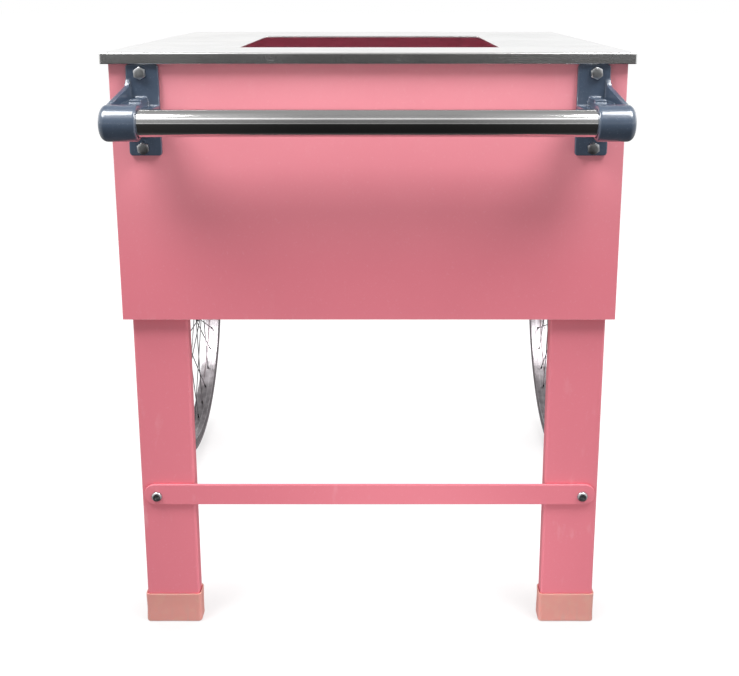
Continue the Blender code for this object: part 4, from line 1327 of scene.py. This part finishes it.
def lacing_recipe(part):
    """One tree for each part of the lacing: the wires, the nipples, or the heads on the flanges."""
    sizes = {"Count": "Int", "Centre": "Vector", "Hub Radius": "Float", "Rim Radius": "Float", "Sweep": "Float",
             "Offset": "Float", "Stagger": "Float", "Thickness": "Float", "Finish": "Material"}
    recipe = Recipe("lacing_" + part, sizes)
    count = recipe.given("Count")
    index = recipe.add("GeometryNodeInputIndex")
    rim_angle = index * FULL_TURN / count
    flange = 1 - (index % 2.0) * 2.0
    trail = 1 - ((index / 2.0).math("FLOOR", index / 2.0) % 2.0) * 2.0
    hub_angle = rim_angle + trail * recipe.given("Sweep")
    hub_radius = recipe.given("Hub Radius")
    rim_radius = recipe.given("Rim Radius")
    sine = lambda angle: angle.math("SINE", angle)
    cosine = lambda angle: angle.math("COSINE", angle)
    across = flange * recipe.given("Offset") + trail * recipe.given("Stagger")
    start = recipe.xyz(across, hub_radius * sine(hub_angle), hub_radius * cosine(hub_angle) * -1.0)
    end = recipe.xyz(0.0, rim_radius * sine(rim_angle), rim_radius * cosine(rim_angle) * -1.0)
    way = recipe.vector("SUBTRACT", end, start)
    length = recipe.vector("LENGTH", way, output="Value")
    thickness = recipe.given("Thickness")
    if part == "wires":
        form = recipe.add("GeometryNodeMeshCylinder", None, {"Vertices": 10, "Radius": thickness, "Depth": 1.0})
        form = recipe.add("GeometryNodeTransform", None, {"Geometry": form, "Translation": (0.0, 0.0, 0.5)})
        where, aim, size = start, way, recipe.xyz(1.0, 1.0, length)
    elif part == "nipples":
        sizes = {"Vertices": 12, "Radius Top": thickness * 1.0, "Radius Bottom": thickness * 0.62, "Depth": thickness * 5.0}
        form = recipe.add("GeometryNodeMeshCone", None, sizes)
        drop = recipe.xyz(0.0, 0.0, thickness * -4.6)
        form = recipe.add("GeometryNodeTransform", None, {"Geometry": form, "Translation": drop})
        where, aim, size = end, way, (1.0, 1.0, 1.0)
    else:
        sizes = {"Segments": 12, "Rings": 6, "Radius": thickness}
        form = recipe.add("GeometryNodeMeshUVSphere", None, sizes)
        where = recipe.vector("ADD", start, recipe.xyz(flange * 0.0009, 0.0, 0.0))
        aim, size = recipe.xyz(flange, 0.0, 0.0), (1.0, 1.0, 0.7)
    form = recipe.add("GeometryNodeSetShadeSmooth", None, {0: form})
    points = recipe.add("GeometryNodePoints", None, {"Count": count, "Position": where})
    turned = recipe.add("FunctionNodeAlignRotationToVector", {"axis": "Z"}, {"Vector": aim})
    placed = {"Points": points, "Instance": form, "Rotation": turned, "Scale": size}
    copies = recipe.add("GeometryNodeInstanceOnPoints", None, placed)
    moved = {"Geometry": copies, "Translation": recipe.given("Centre")}
    recipe.close(recipe.add("GeometryNodeTransform", None, moved))
    return recipe


LACING = {
    "wires": (lacing_recipe("wires"), SPOKE_WIRE, "spoke_wire"),
    "nipples": (lacing_recipe("nipples"), 0.0020, "blackened_brass"),
    "heads": (lacing_recipe("heads"), 0.0021, "spoke_wire"),
}
for label, side in SIDES:
    rim_low, rim_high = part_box(label + "_rim")
    centre = Vector(((rim_low.x + rim_high.x) / 2, AXLE.y, AXLE.z))
    rim_inner = (rim_high.z - rim_low.z) / 2 - 0.014
    for part, (recipe, thickness, finish) in LACING.items():
        values = {"Count": SPOKES, "Centre": centre, "Hub Radius": HOLE_CIRCLE, "Rim Radius": rim_inner + 0.0006,
                  "Sweep": SPOKE_SWEEP, "Offset": FLANGE_OFFSET, "Stagger": SPOKE_STAGGER,
                  "Thickness": thickness, "Finish": FINISHES[finish]}
        laced = recipe.run("%s_spoke_%s" % (label, part), values)
        place_piece(laced, finish, label + "_wheel")

# %% [markdown]
# ## What stays as it was packed
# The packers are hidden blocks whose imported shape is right, so they only get their plastic.

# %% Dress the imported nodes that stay
for label, side in SIDES:
    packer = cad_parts[label + "_bracket_packer"]
    packer.data.materials.clear()
    packer.data.materials.append(FINISHES["packer_plastic"])
shown = [name for name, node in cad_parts.items() if not node.hide_render]
print("packed nodes still shown:", shown)

# %% [markdown]
# ## The studio
# A white floor runs to the horizon under a white sky. Four soft lamps hang above the corners: the two
# in front give each bracket a soft shadow that falls inwards and let the push tube darken the lower
# half of the panel, the two behind keep the far side bright, and a weak one near the floor lifts the
# feet. The floor is there for the eye only; the light it would throw back is part of the sky, where
# its strength can be chosen. Bare steel shows only what it mirrors, so mirror rays get a studio of
# their own: dark below, banded grey and white in front, white behind and at the sides.

# %% Floor
FLOOR_HALF = 40.0
FLOOR_WHITE = 0.25
FLOOR_GLOW_AND_PAINTED_SHADOW = (0.66, 0.91)
SHADOW_REACH = (0.030, 0.200)
TREAD_FADE = 0.045

foot_low, foot_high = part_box("right_boot")
FOOT = (foot_low + foot_high) / 2
tread_low, tread_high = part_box("right_tyre")
TREAD = (tread_low + tread_high) / 2


def floor_finish():
    floor = Finish("studio_floor", (FLOOR_WHITE,) * 3, 0.9, constants={"Specular IOR Level": 0.0})
    x, y, z = floor.axes()
    away = FLOOR_HALF
    # Painted shadow: the floor's glow is dimmed round each boot and each tyre's tread, as contact shadow.
    for spot, nearer in ((FOOT, 0.0), (TREAD, TREAD_FADE)):
        off_x = x.math("ABSOLUTE", x) - spot.x
        off_y = y - spot.y
        away = x.math("MINIMUM", (off_x * off_x + off_y * off_y) ** 0.5 + nearer, away)
    floor.feed("Emission Color", (1.0, 1.0, 1.0, 1.0))
    floor.feed("Emission Strength", floor.between(away, *SHADOW_REACH, *FLOOR_GLOW_AND_PAINTED_SHADOW))
    return floor.material


floor_mesh = bpy.data.meshes.new("studio_floor")
corners = [(-FLOOR_HALF, -FLOOR_HALF), (FLOOR_HALF, -FLOOR_HALF), (FLOOR_HALF, FLOOR_HALF), (-FLOOR_HALF, FLOOR_HALF)]
floor_mesh.from_pydata([(x, y, -0.0005) for x, y in corners], [], [(0, 1, 2, 3)])
floor_mesh.materials.append(floor_finish())
studio_floor = bpy.data.objects.new("studio_floor", floor_mesh)
studio_floor.visible_glossy = False
studio_floor.visible_diffuse = False
bpy.context.scene.collection.objects.link(studio_floor)

# %% Sky
MIRROR_GAIN = 2.0
MIRROR_AHEAD = (
    (0.00, 0.006), (0.40, 0.008), (0.48, 0.012), (0.515, 0.03), (0.53, 0.17), (0.565, 0.17), (0.59, 0.08),
    (0.75, 0.10), (0.80, 0.14), (0.825, 0.42), (0.875, 0.42), (0.90, 0.17), (1.00, 0.17),
)
MIRROR_BEHIND = ((0.00, 0.04), (0.47, 0.12), (0.50, 0.60), (0.60, 0.60), (0.68, 0.36), (0.77, 0.17), (1.00, 0.17))
MIRROR_SIDES = 0.28
SKY_LIGHT = ((0.00, 0.50), (0.49, 0.50), (0.51, 0.32), (1.00, 0.36))
SKY_SIDES = 0.35


def make_sky():
    world = bpy.data.worlds.new("studio_sky")
    world.use_nodes = True
    bpy.context.scene.world = world
    sky = Tree(world.node_tree)
    sky.made.nodes.clear()
    way = sky.add("ShaderNodeTexCoord", None, None, "Generated")
    x = sky.add("ShaderNodeSeparateXYZ", None, {0: way})
    y, z = x.also("Y"), x.also("Z")
    height = z * 0.5 + 0.5
    side = x.math("ABSOLUTE", x)
    ahead = sky.add("ShaderNodeValToRGB", {"stops": MIRROR_AHEAD}, {0: height})
    behind = sky.add("ShaderNodeValToRGB", {"stops": MIRROR_BEHIND}, {0: height})
    stripes = sky.add("ShaderNodeTexNoise", {"noise_dimensions": "1D"}, {"W": z * 24.0 + side * 1.5, "Detail": 3.0})
    gain = sky.between(stripes, 0.34, 0.66, 0.40, 1.50) * (1 + sky.between(side, 0.08, 0.45) * 2.3)
    ahead = sky.vector("MULTIPLY", ahead, sky.xyz(gain, gain, gain))
    mirrored = sky.blend(sky.between(y, -0.25, 0.25), ahead, behind)
    lift = sky.between(side, 0.45, 0.80) * MIRROR_SIDES
    mirrored = sky.vector("ADD", mirrored, sky.xyz(lift, lift, lift))
    mirrored = sky.vector("MULTIPLY", mirrored, (MIRROR_GAIN, MIRROR_GAIN, MIRROR_GAIN))
    soft = sky.add("ShaderNodeValToRGB", {"stops": SKY_LIGHT}, {0: height})
    lift = sky.between(side, 0.55, 0.90) * SKY_SIDES
    soft = sky.vector("ADD", soft, sky.xyz(lift, lift, lift))
    path = sky.add("ShaderNodeLightPath", None, None, "Is Camera Ray")
    colour = sky.blend(path.also("Is Glossy Ray"), soft, mirrored)
    colour = sky.blend(path, colour, (1.0, 1.0, 1.0, 1.0))
    background = sky.add("ShaderNodeBackground", None, {"Color": colour, "Strength": 1.0})
    sky.join(background, sky.made.nodes.new("ShaderNodeOutputWorld").inputs["Surface"])


make_sky()

# %% Lamps
LAMPS = (
    ("left_front", (-1.00, -0.95, 2.15), (0.0, -0.30, 0.65), 0.95, 33.0, True),
    ("right_front", (1.00, -0.95, 2.15), (0.0, -0.30, 0.65), 0.95, 33.0, True),
    ("left_rear", (-1.40, 2.00, 2.00), (0.0, -0.10, 0.65), 1.3, 22.0, False),
    ("right_rear", (1.40, 2.00, 2.00), (0.0, -0.10, 0.65), 1.3, 22.0, False),
    ("low_front", (0.08, -0.90, 0.03), (0.0, 0.0, -0.20), 0.40, 1.5, False),
)

for name, spot, aim, size, power, mirrored in LAMPS:
    lamp_data = bpy.data.lights.new(name + "_lamp", "AREA")
    lamp_data.shape = "DISK"
    lamp_data.size = size
    lamp_data.energy = power
    lamp = bpy.data.objects.new(lamp_data.name, lamp_data)
    lamp.location = spot
    lamp.rotation_euler = (Vector(aim) - lamp.location).to_track_quat("-Z", "Y").to_euler()
    lamp.visible_camera = False
    lamp.visible_glossy = mirrored
    bpy.context.scene.collection.objects.link(lamp)
print("studio lit by", len(LAMPS), "lamps")

# %% [markdown]
# ## Last look
# The number of pieces made is printed.

# %% Count the pieces
print("pieces made:", len(MADE))
